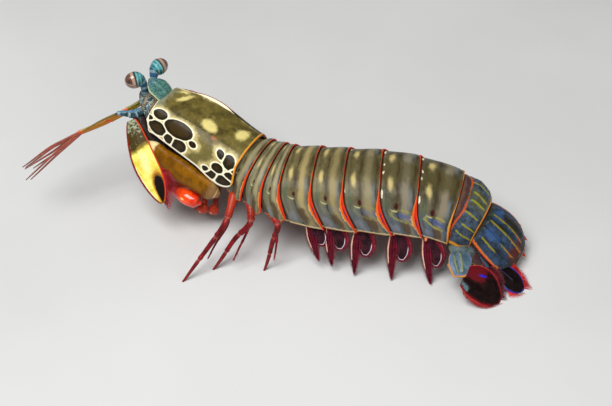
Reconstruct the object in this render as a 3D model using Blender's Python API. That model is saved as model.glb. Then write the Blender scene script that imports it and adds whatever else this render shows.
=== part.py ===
"""Mantis shrimp, standing, as sixty separate closed solids.  Blender 4.5, metres, +Z up.

Lengths in this file are millimetres in a working frame (head toward -X, the
animal's left side toward -Y) and are turned into metres when a mesh is made.
"""
import math

import bmesh
import bpy
from mathutils import Matrix, Vector

MM = 0.001
GAP = 0.3                     # clear gap between two neighbouring pieces
FLOOR = 0.0

for leftover in list(bpy.data.objects):
    bpy.data.objects.remove(leftover, do_unlink=True)

# ---------------------------------------------------------------- body line
# station: distance along the back, heading toward the left side, downward
# pitch, roll toward the left, half width, arch height, backward sweep of the
# lower corners
STATIONS = [
    (-52.0, 33.5, 15.0, -2.0, 8.0, 9.0, 0.0),
    (-36.0, 33.5, 15.0, -2.0, 9.8, 10.8, 0.0),
    (-27.0, 32.3, 15.3, -2.0, 10.6, 12.0, 0.0),
    (-18.0, 31.0, 15.6, -2.0, 11.3, 12.8, 0.0),
    (-9.0, 29.5, 16.0, -2.0, 12.2, 13.2, 0.0),
    (0.0, 28.0, 16.2, -1.9, 12.9, 13.5, 0.0),
    (5.2, 25.3, 11.8, -0.6, 13.9, 13.5, 1.2),
    (10.9, 20.6, 8.2, 0.7, 15.2, 13.4, 2.6),
    (16.3, 14.4, 2.0, 2.0, 15.1, 13.8, 4.6),
    (26.9, 10.6, -1.3, 3.3, 15.8, 14.8, 5.2),
    (37.2, 8.4, -2.1, 4.6, 16.0, 15.0, 5.3),
    (48.7, 6.6, -1.0, 5.8, 16.2, 15.0, 5.1),
    (60.1, 7.3, 4.9, 7.1, 15.4, 14.2, 4.0),
    (72.6, 14.4, 15.3, 8.4, 14.1, 12.7, 2.3),
    (77.5, 18.5, 19.8, 9.0, 13.3, 12.0, 2.0),
    (81.0, 21.5, 23.0, 9.5, 11.2, 10.2, 1.7),
    (82.9, 23.3, 25.0, 9.7, 9.7, 8.0, 1.6),
    (84.5, 24.0, 41.0, 9.7, 8.8, 5.0, 1.2),
    (106.0, 24.0, 43.0, 9.7, 8.0, 4.0, 0.0),
]
ANCHOR_S, ANCHOR = 16.3, Vector((-6.5, 13.85, 19.4))
ARCH_POWER = 2.25


def station(s):
    """Heading, pitch, roll, half width, height and sweep at one distance."""
    rows = STATIONS
    if s <= rows[0][0]:
        return rows[0][1:]
    for a, b in zip(rows, rows[1:]):
        if s <= b[0]:
            t = (s - a[0]) / (b[0] - a[0])
            return tuple(p + (q - p) * t for p, q in zip(a[1:], b[1:]))
    return rows[-1][1:]


def axes_at(s):
    """Tailward, left and up directions of the body at one distance."""
    head, pitch, roll = (math.radians(v) for v in station(s)[:3])
    d = Vector((math.cos(pitch) * math.cos(head), -math.cos(pitch) * math.sin(head), -math.sin(pitch)))
    left = Vector((-math.sin(head), -math.cos(head), 0.0))
    up = left.cross(d)
    if up.z < 0:
        up.negate()
    return d, left * math.cos(roll) - up * math.sin(roll), up * math.cos(roll) + left * math.sin(roll)


def walk():
    """Points of the body line every half millimetre, joined at the anchor."""
    step = 0.5
    table = {0: ANCHOR.copy()}
    first = int((STATIONS[0][0] - ANCHOR_S) / step) - 1
    last = int((STATIONS[-1][0] - ANCHOR_S) / step) + 2
    for i in range(1, last + 1):
        table[i] = table[i - 1] + axes_at(ANCHOR_S + (i - 0.5) * step)[0] * step
    for i in range(-1, first - 1, -1):
        table[i] = table[i + 1] - axes_at(ANCHOR_S + (i + 0.5) * step)[0] * step
    return step, table


STEP_LENGTH, LINE = walk()


def line_at(s):
    f = (s - ANCHOR_S) / STEP_LENGTH
    i = math.floor(f)
    i = max(min(LINE), min(max(LINE) - 1, i))
    return LINE[i].lerp(LINE[i + 1], f - i)


def body(s, y, z):
    """Place a point given along the body, to the left and up."""
    d, left, up = axes_at(s)
    return line_at(s) + left * y + up * z


def fixed(s0, x, y, z):
    """Like body() but with the axes held at one distance (for stiff pieces)."""
    d, left, up = axes_at(s0)
    return line_at(s0) + d * x + left * y + up * z


def smooth(t):
    t = max(0.0, min(1.0, t))
    return t * t * (3 - 2 * t)


def mix(a, b, t):
    return a + (b - a) * t


def along(table, t):
    """Linear look-up in ((t, value), ...)."""
    if t <= table[0][0]:
        return table[0][1]
    for (a, va), (b, vb) in zip(table, table[1:]):
        if t <= b:
            return mix(va, vb, (t - a) / (b - a))
    return table[-1][1]


# ------------------------------------------------------------ mesh building
PARTS = {}
PLAIN = {}                    # fringed pieces as they are before their fringe


def material(name, colour, rough=0.35):
    mat = bpy.data.materials.get(name)
    if mat is None:
        mat = bpy.data.materials.new(name)
        mat.use_nodes = True
        shader = mat.node_tree.nodes["Principled BSDF"]
        shader.inputs["Base Color"].default_value = (*colour, 1.0)
        shader.inputs["Roughness"].default_value = rough
        mat.diffuse_color = (*colour, 1.0)
    return mat


def raw(name, verts, faces):
    """Make one closed mesh object in millimetres, outward facing."""
    bm = bmesh.new()
    made = [bm.verts.new(v) for v in verts]
    for f in faces:
        try:
            bm.faces.new([made[i] for i in f])
        except ValueError:
            pass
    bmesh.ops.remove_doubles(bm, verts=bm.verts, dist=1e-4)
    bmesh.ops.triangulate(bm, faces=bm.faces, quad_method="FIXED", ngon_method="BEAUTY")
    bmesh.ops.recalc_face_normals(bm, faces=bm.faces)
    if bm.calc_volume(signed=True) < 0:
        bmesh.ops.reverse_faces(bm, faces=bm.faces)
    mesh = bpy.data.meshes.new(name)
    bm.to_mesh(mesh)
    bm.free()
    obj = bpy.data.objects.new(name, mesh)
    bpy.context.scene.collection.objects.link(obj)
    return obj


def loft(name, rings, caps="fan"):
    """Skin equal rings of points; ends are fans, or strips across a U section."""
    n = len(rings[0])
    verts = [p for ring in rings for p in ring]
    faces = []
    for r in range(len(rings) - 1):
        for i in range(n):
            j = (i + 1) % n
            faces.append((r * n + i, r * n + j, (r + 1) * n + j, (r + 1) * n + i))
    for end, base in ((0, 0), (1, (len(rings) - 1) * n)):
        if caps == "fan":
            ring = rings[-1 if end else 0]
            centre = sum(ring, Vector()) / n
            verts.append(centre)
            c = len(verts) - 1
            for i in range(n):
                faces.append((base + i, base + (i + 1) % n, c))
        else:
            half = n // 2
            for i in range(half - 1):
                faces.append((base + i, base + i + 1, base + n - 2 - i, base + n - 1 - i))
    return raw(name, verts, faces)


def path_frames(points, hint):
    """Tangent, side and normal at each point of a path; hint is the normal."""
    out = []
    for i, p in enumerate(points):
        a = points[max(0, i - 1)]
        b = points[min(len(points) - 1, i + 1)]
        t = (b - a).normalized()
        h = hint[i] if isinstance(hint, (list, tuple)) else hint
        side = t.cross(h)
        if side.length < 1e-4:
            side = t.orthogonal()
        side.normalize()
        out.append((t, side, side.cross(t).normalized()))
    return out


def tube(name, points, radii, sides=7, hint=Vector((0, 0, 1)), flat=1.0, round_ends=True):
    """A limb: rings of given radius along a path; flat < 1 thins it along the hint."""
    points = [Vector(p) for p in points]
    frames = path_frames(points, hint)
    rings = []
    rows = [(p, f, r) for p, f, r in zip(points, frames, radii)]
    if round_ends:
        p, f, r = rows[0]
        rows.insert(0, (p - f[0] * r * 0.45, f, r * 0.6))
        p, f, r = rows[-1]
        rows.append((p + f[0] * r * 0.45, f, r * 0.6))
    for p, (t, side, nrm), r in rows:
        f = flat if not isinstance(flat, (list, tuple)) else flat[0]
        rings.append([p + side * (r * math.cos(a)) + nrm * (r * f * math.sin(a))
                      for a in (2 * math.pi * k / sides for k in range(sides))])
    return loft(name, rings)


RIM = 0.52                    # thickness of every leaf at its very edge


def blade(name, points, hint, left, right, thick, cols=6, bulge=0.0, ridges=()):
    """A leaf: edge offsets left and right of a path, lens-shaped across."""
    frames = path_frames(points, hint)
    rings = []
    for p, (t, side, nrm), a, b, th in zip(points, frames, left, right, thick):
        top, bottom = [], []
        for k in range(cols + 1):
            u = k / cols
            off = mix(-a, b, u)
            half = RIM / 2 + max(0.0, th - RIM) / 2 * (1 - (2 * u - 1) ** 4)
            lift = bulge * (1 - (2 * u - 1) ** 2) * (a + b)
            rise = sum(h * max(0.0, 1 - abs(off - c * (a + b) / 2) / w) for c, w, h in ridges)
            top.append(p + side * off + nrm * (lift + half + rise))
            bottom.append(p + side * off + nrm * (lift - half))
        rings.append(top + bottom[::-1])
    return loft(name, rings, caps="strip")


def cone(name, root, tip, radius, sides=5, sink=0.35, hint=None):
    """A tapered spine or hair whose root is sunk into its parent."""
    root, tip = Vector(root), Vector(tip)
    axis = (tip - root).normalized()
    start = root - axis * (tip - root).length * sink
    side = axis.cross(hint).normalized() if hint else axis.orthogonal().normalized()
    other = axis.cross(side)
    rings = []
    for q, r in ((start, radius), (tip, radius * 0.25)):
        rings.append([q + side * (r * math.cos(a)) + other * (r * math.sin(a))
                      for a in (2 * math.pi * k / sides for k in range(sides))])
    return loft(name, rings)


def islands(bm):
    left = set(bm.faces)
    groups = []
    while left:
        stack = [left.pop()]
        group = set(stack)
        while stack:
            face = stack.pop()
            for edge in face.edges:
                for other in edge.link_faces:
                    if other in left:
                        left.discard(other)
                        group.add(other)
                        stack.append(other)
        groups.append(group)
    return groups


def signed(group):
    total = 0.0
    for face in group:
        v = [q.co for q in face.verts]
        for i in range(1, len(v) - 1):
            total += v[0].dot(v[i].cross(v[i + 1])) / 6
    return total


def welded(mesh, dist):
    """The mesh welded at one distance, its largest closed surface only."""
    bm = bmesh.new()
    bm.from_mesh(mesh)
    bmesh.ops.remove_doubles(bm, verts=bm.verts, dist=dist)
    bmesh.ops.dissolve_degenerate(bm, edges=bm.edges, dist=dist * 0.7)
    bmesh.ops.triangulate(bm, faces=bm.faces)
    groups = islands(bm)
    if len(groups) > 1:
        keep = max(groups, key=lambda g: abs(signed(g)))
        bmesh.ops.delete(bm, geom=[f for f in bm.faces if f not in keep], context="FACES")
    bmesh.ops.delete(bm, geom=[v for v in bm.verts if not v.link_faces], context="VERTS")
    bmesh.ops.recalc_face_normals(bm, faces=bm.faces)
    if bm.calc_volume(signed=True) < 0:
        bmesh.ops.reverse_faces(bm, faces=bm.faces)
    return bm


def tidy(obj):
    """Weld as far as the surface stays closed."""
    for dist in (0.02, 0.004, 0.001, 0.0002):
        bm = welded(obj.data, dist)
        if bm.faces and all(e.is_manifold for e in bm.edges):
            break
        bm.free()
        bm = None
    if bm is None:
        print("open surface", obj.name)
        bm = welded(obj.data, 0.0002)
    bm.to_mesh(obj.data)
    bm.free()
    return obj


def joined(obj, group, kind, solver):
    """Mesh of one Boolean with a collection, by the named solver."""
    mod = obj.modifiers.new("join", "BOOLEAN")
    mod.operand_type = "COLLECTION"
    mod.collection = group
    mod.operation = kind
    mod.solver = solver
    bpy.context.view_layer.update()
    evaluated = obj.evaluated_get(bpy.context.evaluated_depsgraph_get())
    mesh = bpy.data.meshes.new_from_object(evaluated)
    obj.modifiers.clear()
    return mesh


def sound(mesh, least):
    """Is the mesh closed, and does it still hold the volume it should?"""
    bm = bmesh.new()
    bm.from_mesh(mesh)
    good = len(bm.faces) > 3 and all(e.is_manifold for e in bm.edges) and abs(bm.calc_volume()) > least
    bm.free()
    return good


def boolean(obj, others, kind):
    """Apply one Boolean with a collection of closed meshes, then drop them."""
    group = bpy.data.collections.new("operands")
    for o in others:
        group.objects.link(o)
    bm = bmesh.new()
    bm.from_mesh(obj.data)
    least = abs(bm.calc_volume()) * (0.9 if kind == "UNION" else 0.2)
    bm.free()
    mesh = joined(obj, group, kind, "EXACT")
    if not sound(mesh, least):
        other = joined(obj, group, kind, "MANIFOLD")
        print("solver", obj.name, kind, len(mesh.polygons), "->", len(other.polygons), sound(other, least))
        if sound(other, least) or not len(mesh.polygons):
            mesh = other
    old = obj.data
    obj.data = mesh
    bpy.data.meshes.remove(old)
    bpy.data.collections.remove(group)
    for o in others:
        data = o.data
        bpy.data.objects.remove(o, do_unlink=True)
        bpy.data.meshes.remove(data)
    return tidy(obj)


def fuse(main, others):
    return boolean(main, others, "UNION") if others else main


def swollen(parent, gap):
    """A copy of a finished piece grown outward by the gap."""
    mesh = parent.data.copy()
    obj = bpy.data.objects.new("swollen", mesh)
    bpy.context.scene.collection.objects.link(obj)
    normals = [v.normal.copy() for v in mesh.vertices]
    for v, nrm in zip(mesh.vertices, normals):
        v.co += nrm * gap * 1.12
    return obj


def near(a, b, margin):
    """Do the boxes of two pieces come within the margin?"""
    for axis in range(3):
        low_a, high_a = min(v.co[axis] for v in a.data.vertices), max(v.co[axis] for v in a.data.vertices)
        low_b, high_b = min(v.co[axis] for v in b.data.vertices), max(v.co[axis] for v in b.data.vertices)
        if low_a > high_b + margin or low_b > high_a + margin:
            return False
    return True


def clear_of(obj, parents, gap=GAP):
    """Cut a piece back so it meets its parents face to face across the gap."""
    for p in parents:
        parent = PLAIN.get(p, PARTS.get(p))
        if parent and near(obj, parent, gap):
            boolean(obj, [swollen(parent, gap)], "DIFFERENCE")
    return obj


def flat_foot(obj):
    """Cut a small flat where a piece reaches the floor."""
    bm = bmesh.new()
    bm.from_mesh(obj.data)
    low = min(v.co.z for v in bm.verts)
    if low < FLOOR - 1e-6:
        cut = bmesh.ops.bisect_plane(bm, geom=bm.verts[:] + bm.edges[:] + bm.faces[:], plane_co=(0, 0, FLOOR),
                                     plane_no=(0, 0, 1), clear_inner=True)
        edges = [e for e in cut["geom_cut"] if isinstance(e, bmesh.types.BMEdge)]
        bmesh.ops.edgenet_fill(bm, edges=edges)
        bmesh.ops.holes_fill(bm, edges=bm.edges)
        bmesh.ops.triangulate(bm, faces=bm.faces)
        bmesh.ops.recalc_face_normals(bm, faces=bm.faces)
        if bm.calc_volume(signed=True) < 0:
            bmesh.ops.reverse_faces(bm, faces=bm.faces)
        bm.to_mesh(obj.data)
    bm.free()
    return obj


def finish(obj, name, colour, clear=(), rough=0.35, gap=GAP, hairs=()):
    obj.name = name
    obj.data.name = name
    clear_of(obj, clear, gap)
    if hairs:
        PLAIN[name] = bpy.data.objects.new("plain", obj.data.copy())
        fuse(obj, list(hairs))
    flat_foot(obj)
    tidy(obj)
    obj.data.materials.clear()
    obj.data.materials.append(material("mat_" + name, colour, rough))
    for poly in obj.data.polygons:
        poly.use_smooth = True
    PARTS[name] = obj
    return obj


# ------------------------------------------------------------- body segments
def arch(s, w, h, n, start=0.0):
    """Outer arch from the left margin over the back to the right margin."""
    sweep = station(s)[5]
    pts = []
    for i in range(n):
        a = start + (math.pi - 2 * start) * i / (n - 1)
        c, v = math.cos(a), math.sin(a)
        y = w * math.copysign(abs(c) ** (2 / ARCH_POWER), c)
        z = h * abs(v) ** (2 / ARCH_POWER)
        pts.append((y, z, sweep * (abs(y) / w) ** 4 * (1 - z / h)))
    return pts


def place(s, pts):
    d, left, up = axes_at(s)
    base = line_at(s)
    return [base + d * x + left * y + up * z for y, z, x in pts]


def belly(s, w, n, lip, depth, sink):
    """Under side of a body ring, right to left, as many points as the arch."""
    sweep = station(s)[5]
    keys = [(0.0, (-w + 0.1, -0.05)), (0.1, (-w + lip, 0.1)), (0.22, (-w + lip * 2.1, sink)), (0.5, (0.0, depth)),
            (0.78, (w - lip * 2.1, sink)), (0.9, (w - lip, 0.1)), (1.0, (w - 0.1, -0.05))]
    pts = []
    for i in range(n):
        t = i / (n - 1)
        for (a, pa), (b, pb) in zip(keys, keys[1:]):
            if t <= b + 1e-9:
                f = (t - a) / (b - a)
                y, z = mix(pa[0], pb[0], f), mix(pa[1], pb[1], f)
                break
        pts.append((y, z, sweep * (abs(y) / w) ** 4))
    return pts


def body_ring(name, s0, s1, colour, n=15, steps=3, lip=1.3, depth=2.0, sink=2.6, step_in=0.5, hold=0.0, lobe=0.0, drop=0.0):
    """One solid somite between two distances, its hind rim a little proud."""
    rings = []
    for k in range(steps + 1):
        t = k / steps
        s = mix(s0, s1, t)
        _, _, _, w, h, _ = station(s)
        cut = step_in * (1 - smooth(min(1.0, max(0.0, t - hold) / (1 - hold) * 1.25)))
        ww, hh = w - cut, h - cut
        outline = arch(s, ww, hh, n) + belly(s, ww, n, lip, depth, sink)
        if lobe:
            pinch = lobe * (1 - t) - lobe * 0.35 * t
            outline = [(y, z - drop * smooth(1 - z / (0.5 * hh)) * smooth((abs(y) / ww - 0.6) / 0.4),
                        x + pinch * smooth((abs(y) / ww - 0.72) / 0.28) * smooth(1 - z / (0.55 * hh))) for y, z, x in outline]
        rings.append(place(s, outline))
    return finish(loft(name, rings, caps="strip"), name, colour)


OLIVE = (0.24, 0.22, 0.11)


def somites():
    half = GAP / 2
    body_ring("thorax_6", -2.0, 5.2 - half, (0.25, 0.24, 0.14), depth=-3.0, sink=0.6, steps=3, step_in=1.55, hold=0.32, lobe=2.4, drop=0.6)
    body_ring("thorax_7", 5.2 + half, 10.9 - half, (0.25, 0.24, 0.15), depth=-2.4, sink=0.8, steps=3, lobe=1.5, drop=1.6)
    body_ring("thorax_8", 10.9 + half, 16.3 - half, (0.25, 0.24, 0.15), depth=-1.6, sink=1.0, steps=3, lobe=1.4, drop=1.6)
    marks = [16.3, 26.9, 37.2, 48.7, 60.1, 72.6]
    for i, (a, b) in enumerate(zip(marks, marks[1:])):
        body_ring("abdomen_%d" % (i + 1), a + half, b - half, (0.24, 0.22 + 0.01 * i, 0.12 + 0.02 * i))
    body_ring("abdomen_6", 72.6 + half, 82.9 - half, (0.16, 0.24, 0.24), depth=1.4, sink=1.8, step_in=0.7, steps=4)


# ----------------------------------------------------------------- carapace
def carapace():
    n, rings = 17, []
    marks = [-36.0, -34.8, -32.8, -26.0, -18.0, -9.0, -4.6, -2.2, -0.8, -0.1]
    for s in marks:
        _, _, _, w, h, _ = station(s)
        start = 0.75 * smooth(1 - (s + 36.0) / 3.0) ** 1.5 * 0.5 + 0.62 * smooth((s + 6.0) / 6.0) ** 2
        outer = arch(s, w, h, n, start)
        inner = [(y, z, x) for y, z, x in arch(s, w - 1.1, h - 1.1, n, start)][::-1]
        rings.append(place(s, outer + inner))
    return finish(loft("carapace", rings, caps="strip"), "carapace", (0.26, 0.25, 0.12))


def trunk():
    """The soft body under the carapace, with the bases of mouth and limbs."""
    n, rings = 15, []
    for s, grow in ((-37.5, 0.80), (-36.5, 0.96), (-33, 1.0), (-22, 1.0), (-9, 1.0), (-2.3, 0.97)):
        _, _, _, w, h, _ = station(s)
        ww, hh = (w - 1.1 - GAP - 0.1) * grow, (h - 1.1 - GAP - 0.1) * grow
        low = along(((-38, -2.0), (-30, -5.0), (-18, -6.5), (-6, -5.0), (-2, -3.0)), s)
        under = [(ww * (-0.97 + 1.94 * i / (n - 1)), low * (1 - (2 * i / (n - 1) - 1) ** 4), 0.0) for i in range(n)]
        rings.append(place(s, arch(s, ww, hh, n) + under))
    return finish(loft("trunk", rings, caps="strip"), "trunk", (0.30, 0.12, 0.08))


def head():
    """Front block that bears the eyes and both pairs of feelers."""
    rings = []
    for x, w, lo, hi in ((-37.9, 7.4, -0.5, 8.6), (-39.5, 6.8, 0.0, 8.8), (-41.5, 5.6, 1.6, 8.8), (-43.2, 4.4, 2.8, 8.8),
                         (-44.6, 3.0, 4.2, 8.2)):
        c, hh = (lo + hi) / 2, (hi - lo) / 2
        rings.append([body(x, w * math.cos(a), c + hh * math.sin(a)) for a in (2 * math.pi * k / 14 for k in range(14))])
    return finish(loft("head", rings), "head", (0.09, 0.17, 0.24))


def rostrum():
    pts, lefts, rights, thick = [], [], [], []
    for x, w, z in ((-36.2, 3.9, 10.1), (-37.6, 4.1, 10.6), (-39.6, 3.9, 11.0), (-41.4, 3.1, 11.2), (-42.6, 1.9, 11.2), (-43.3, 0.7, 11.1)):
        pts.append(body(x, 0, z))
        lefts.append(w)
        rights.append(w)
        thick.append(0.9)
    obj = blade("rostral_plate", pts, axes_at(-38)[2], lefts, rights, thick, cols=6, bulge=0.06)
    return finish(obj, "rostral_plate", (0.12, 0.30, 0.27), clear=("carapace", "trunk", "head"))


# --------------------------------------------------------------------- eyes
EYES = {"left": (Vector((-46.4, 5.0, 12.6)), Vector((-0.42, 0.85, -0.06))),
        "right": (Vector((-45.2, -6.4, 12.0)), Vector((0.36, -0.86, 0.10)))}


def eyes():
    for side, (c, look) in EYES.items():
        d, left, up = axes_at(-44)
        centre = body(c.x, c.y, c.z)
        axis = (d * look.x + left * look.y + up * look.z).normalized()
        # long oval eye: the long axis stands across the look direction
        tall = (up - axis * up.dot(axis)).normalized()
        wide = axis.cross(tall)
        long_r, tall_r, wide_r = 3.35, 3.0, 2.8
        cut = -0.15

        def ramp(x0, x1, steps):
            return [mix(x0, x1, math.sin(math.pi / 2 * k / steps)) for k in range(steps + 1)]

        def dome(x0, x1, steps, sides=12):
            rings = []
            for x in ramp(x0, x1, steps):
                r = max(0.1, math.sqrt(max(0.0, 1 - (x / long_r) ** 2)))
                rings.append([centre + axis * x + tall * (tall_r * r * math.cos(a)) + wide * (wide_r * r * math.sin(a))
                              for a in (2 * math.pi * j / sides for j in range(sides))])
            return rings
        ball = loft("ball", dome(cut + GAP / 2, long_r * 0.995, 4))
        cap = loft("cap", dome(cut - GAP / 2, -long_r * 0.98, 3))
        sgn = 1 if side == "left" else -1
        root = body(-42.6, 2.4 * sgn, 7.2)
        knee = root.lerp(centre - axis * 2.6, 0.6) + up * 0.3
        stalk = tube("stalk", [root, knee, centre - axis * 1.9 - up * 0.4], [1.35, 1.5, 1.9], sides=7)
        cap = fuse(cap, [stalk])
        finish(cap, "eyestalk_" + side, (0.08, 0.33, 0.36), clear=("head", "rostral_plate"))
        finish(ball, "eye_" + side, (0.42, 0.25, 0.20), clear=("eyestalk_" + side,), rough=0.15, gap=0.25)


# ------------------------------------------------------------------ feelers
def antennules():
    routes = {
        "left": [Vector((-57.5, 41.0, 37.4)), Vector((-62.6, 38.4, 35.6)), Vector((-69.0, 35.4, 33.9)), Vector((-78.0, 31.8, 32.2))],
        "right": [Vector((-57.0, 45.4, 34.6)), Vector((-62.4, 43.8, 31.8)), Vector((-69.0, 41.4, 29.4)), Vector((-78.4, 37.6, 27.8))],
    }
    ends = {
        "left": [Vector((-97.5, 21.0, 27.0)), Vector((-96.0, 17.0, 24.8)), Vector((-98.0, 24.0, 23.0))],
        "right": [Vector((-98.5, 26.5, 22.6)), Vector((-96.5, 23.0, 19.6)), Vector((-97.0, 30.0, 19.0))],
    }
    for side, pts in routes.items():
        sgn = 1 if side == "left" else -1
        root = body(-42.8, 1.7 * sgn, 5.6)
        chain = [root, pts[0], pts[1], pts[2], pts[3]]
        line, radii = [], []
        for i, (a, b) in enumerate(zip(chain, chain[1:])):
            for t, r in ((0.0, 0.78), (0.12, 0.66), (0.85, 0.62)):
                line.append(a.lerp(b, t))
                radii.append(r * (1.1 if i < 2 else 1.0))
        line.append(chain[-1])
        radii.append(0.85)
        main = tube("antennule_" + side, line, radii, sides=5)
        whips = []
        start = chain[-1]
        for k, end in enumerate(ends[side]):
            bow = (start + end) / 2 + Vector((0, 0, 1.2 - 0.9 * k))
            pts4 = [start.lerp(bow, 0.0), start.lerp(bow, 0.5), bow, bow.lerp(end, 0.5), end]
            whips.append(tube("whip", pts4, [0.46, 0.42, 0.38, 0.33, 0.26], sides=4, round_ends=False))
        fuse(main, whips)
        finish(main, "antennule_" + side, (0.45, 0.20, 0.06), clear=("head", "eyestalk_" + side))


def antennae():
    for side in ("left", "right"):
        sgn = 1 if side == "left" else -1
        root = body(-40.2, 5.0 * sgn, 3.4)
        elbow = body(-42.4, 8.2 * sgn, 2.4)
        knuckle = body(-44.4, 10.0 * sgn, 2.8)
        third = body(-47.6, 11.6 * sgn, 2.6)
        tip = third + (Vector((-12.0, -4.0, -6.0)) if side == "left" else Vector((-13.0, 1.0, -8.0)))
        main = tube("antenna_" + side, [root, elbow, knuckle, third], [1.5, 1.5, 1.1, 0.8], sides=7)
        whip = tube("whip", [third, third.lerp(tip, 0.4) + Vector((0, 0, 1.0)), tip], [0.55, 0.42, 0.26], sides=5, round_ends=False)
        fuse(main, [whip])
        finish(main, "antenna_" + side, (0.07, 0.16, 0.20), clear=("head", "trunk", "carapace"))
        # broad oval scale beside the head
        base = body(-41.4, 9.8 * sgn, 0.2)
        if side == "left":
            tip = Vector((-49.8, 11.3, 13.8))
            normal = Vector((-0.20, -0.60, 0.76))
        else:
            tip = body(-24.5, -21.0, -15.5)
            n0 = body(-36, 0, 0)
            normal = (axes_at(-36)[1] * -0.74 + axes_at(-36)[2] * 0.62 + axes_at(-36)[0] * -0.2)
        run = tip - base
        pts, lefts, rights, thick = [], [], [], []
        widths = ((0.0, 1.5, 1.5), (0.05, 1.9, 1.9), (0.16, 3.2, 2.4), (0.3, 4.3, 3.3), (0.48, 4.9, 4.1), (0.65, 4.5, 4.5),
                  (0.8, 3.6, 4.1), (0.9, 2.6, 3.2), (0.97, 1.3, 2.0), (1.0, 0.5, 0.9))
        for t, a, b in widths:
            bow = normal * (math.sin(math.pi * t) * 1.3)
            pts.append(base + run * t + bow)
            if side == "left":
                a, b = b, a
            lefts.append(a)
            rights.append(b)
            thick.append(mix(1.2, 0.7, t))
        scale = blade("antennal_scale_" + side, pts, normal, lefts, rights, thick, cols=6, bulge=0.03)
        frames = path_frames(pts, normal)
        hairs = []
        inner = lefts if side == "right" else rights
        outer = rights if side == "right" else lefts
        way_in = -1 if side == "right" else 1
        for k in range(11):
            t = 0.42 + 0.56 * k / 10
            i = max(j for j, row in enumerate(widths) if row[0] <= t)
            f = (t - widths[i][0]) / (widths[min(i + 1, 9)][0] - widths[i][0]) if i < 9 else 0
            j = min(i + 1, 9)
            p = pts[i].lerp(pts[j], f)
            w = mix(inner[i], inner[j], f)
            tng, sd, nr = frames[i]
            root_p = p + sd * (w - 0.2) * way_in
            out = (sd * way_in * mix(0.75, 0.25, k / 10) + tng * mix(0.7, 1.0, k / 10)).normalized()
            hairs.append(cone("hair", root_p, root_p + out * mix(2.0, 2.9, k / 10), 0.24, sides=3, sink=0.3, hint=nr))
        for k in range(7):
            t = 0.18 + 0.74 * k / 6
            i = max(j for j, row in enumerate(widths) if row[0] <= t)
            j = min(i + 1, 9)
            f = (t - widths[i][0]) / max(1e-6, widths[j][0] - widths[i][0])
            p = pts[i].lerp(pts[j], f)
            w = mix(outer[i], outer[j], f)
            tng, sd, nr = frames[i]
            root_p = p - sd * (w - 0.2) * way_in
            out = (sd * -way_in * 0.75 + tng * 0.75).normalized()
            hairs.append(cone("hair", root_p, root_p + out * 1.3, 0.24, sides=3, sink=0.3, hint=nr))
        finish(scale, "antennal_scale_" + side, (0.70, 0.58, 0.07), clear=("antenna_" + side, "head", "trunk", "carapace", "raptorial_merus_" + side, "raptorial_carpus_" + side), hairs=hairs)


# ------------------------------------------------------------ striking limbs
def ring_oval(p, axis, normal, a, b, sides=10):
    """An oval ring: a across, b along the normal."""
    side = axis.cross(normal).normalized()
    nrm = side.cross(axis).normalized()
    return [p + side * (a * math.cos(q)) + nrm * (b * math.sin(q)) for q in (2 * math.pi * k / sides for k in range(sides))]


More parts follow.
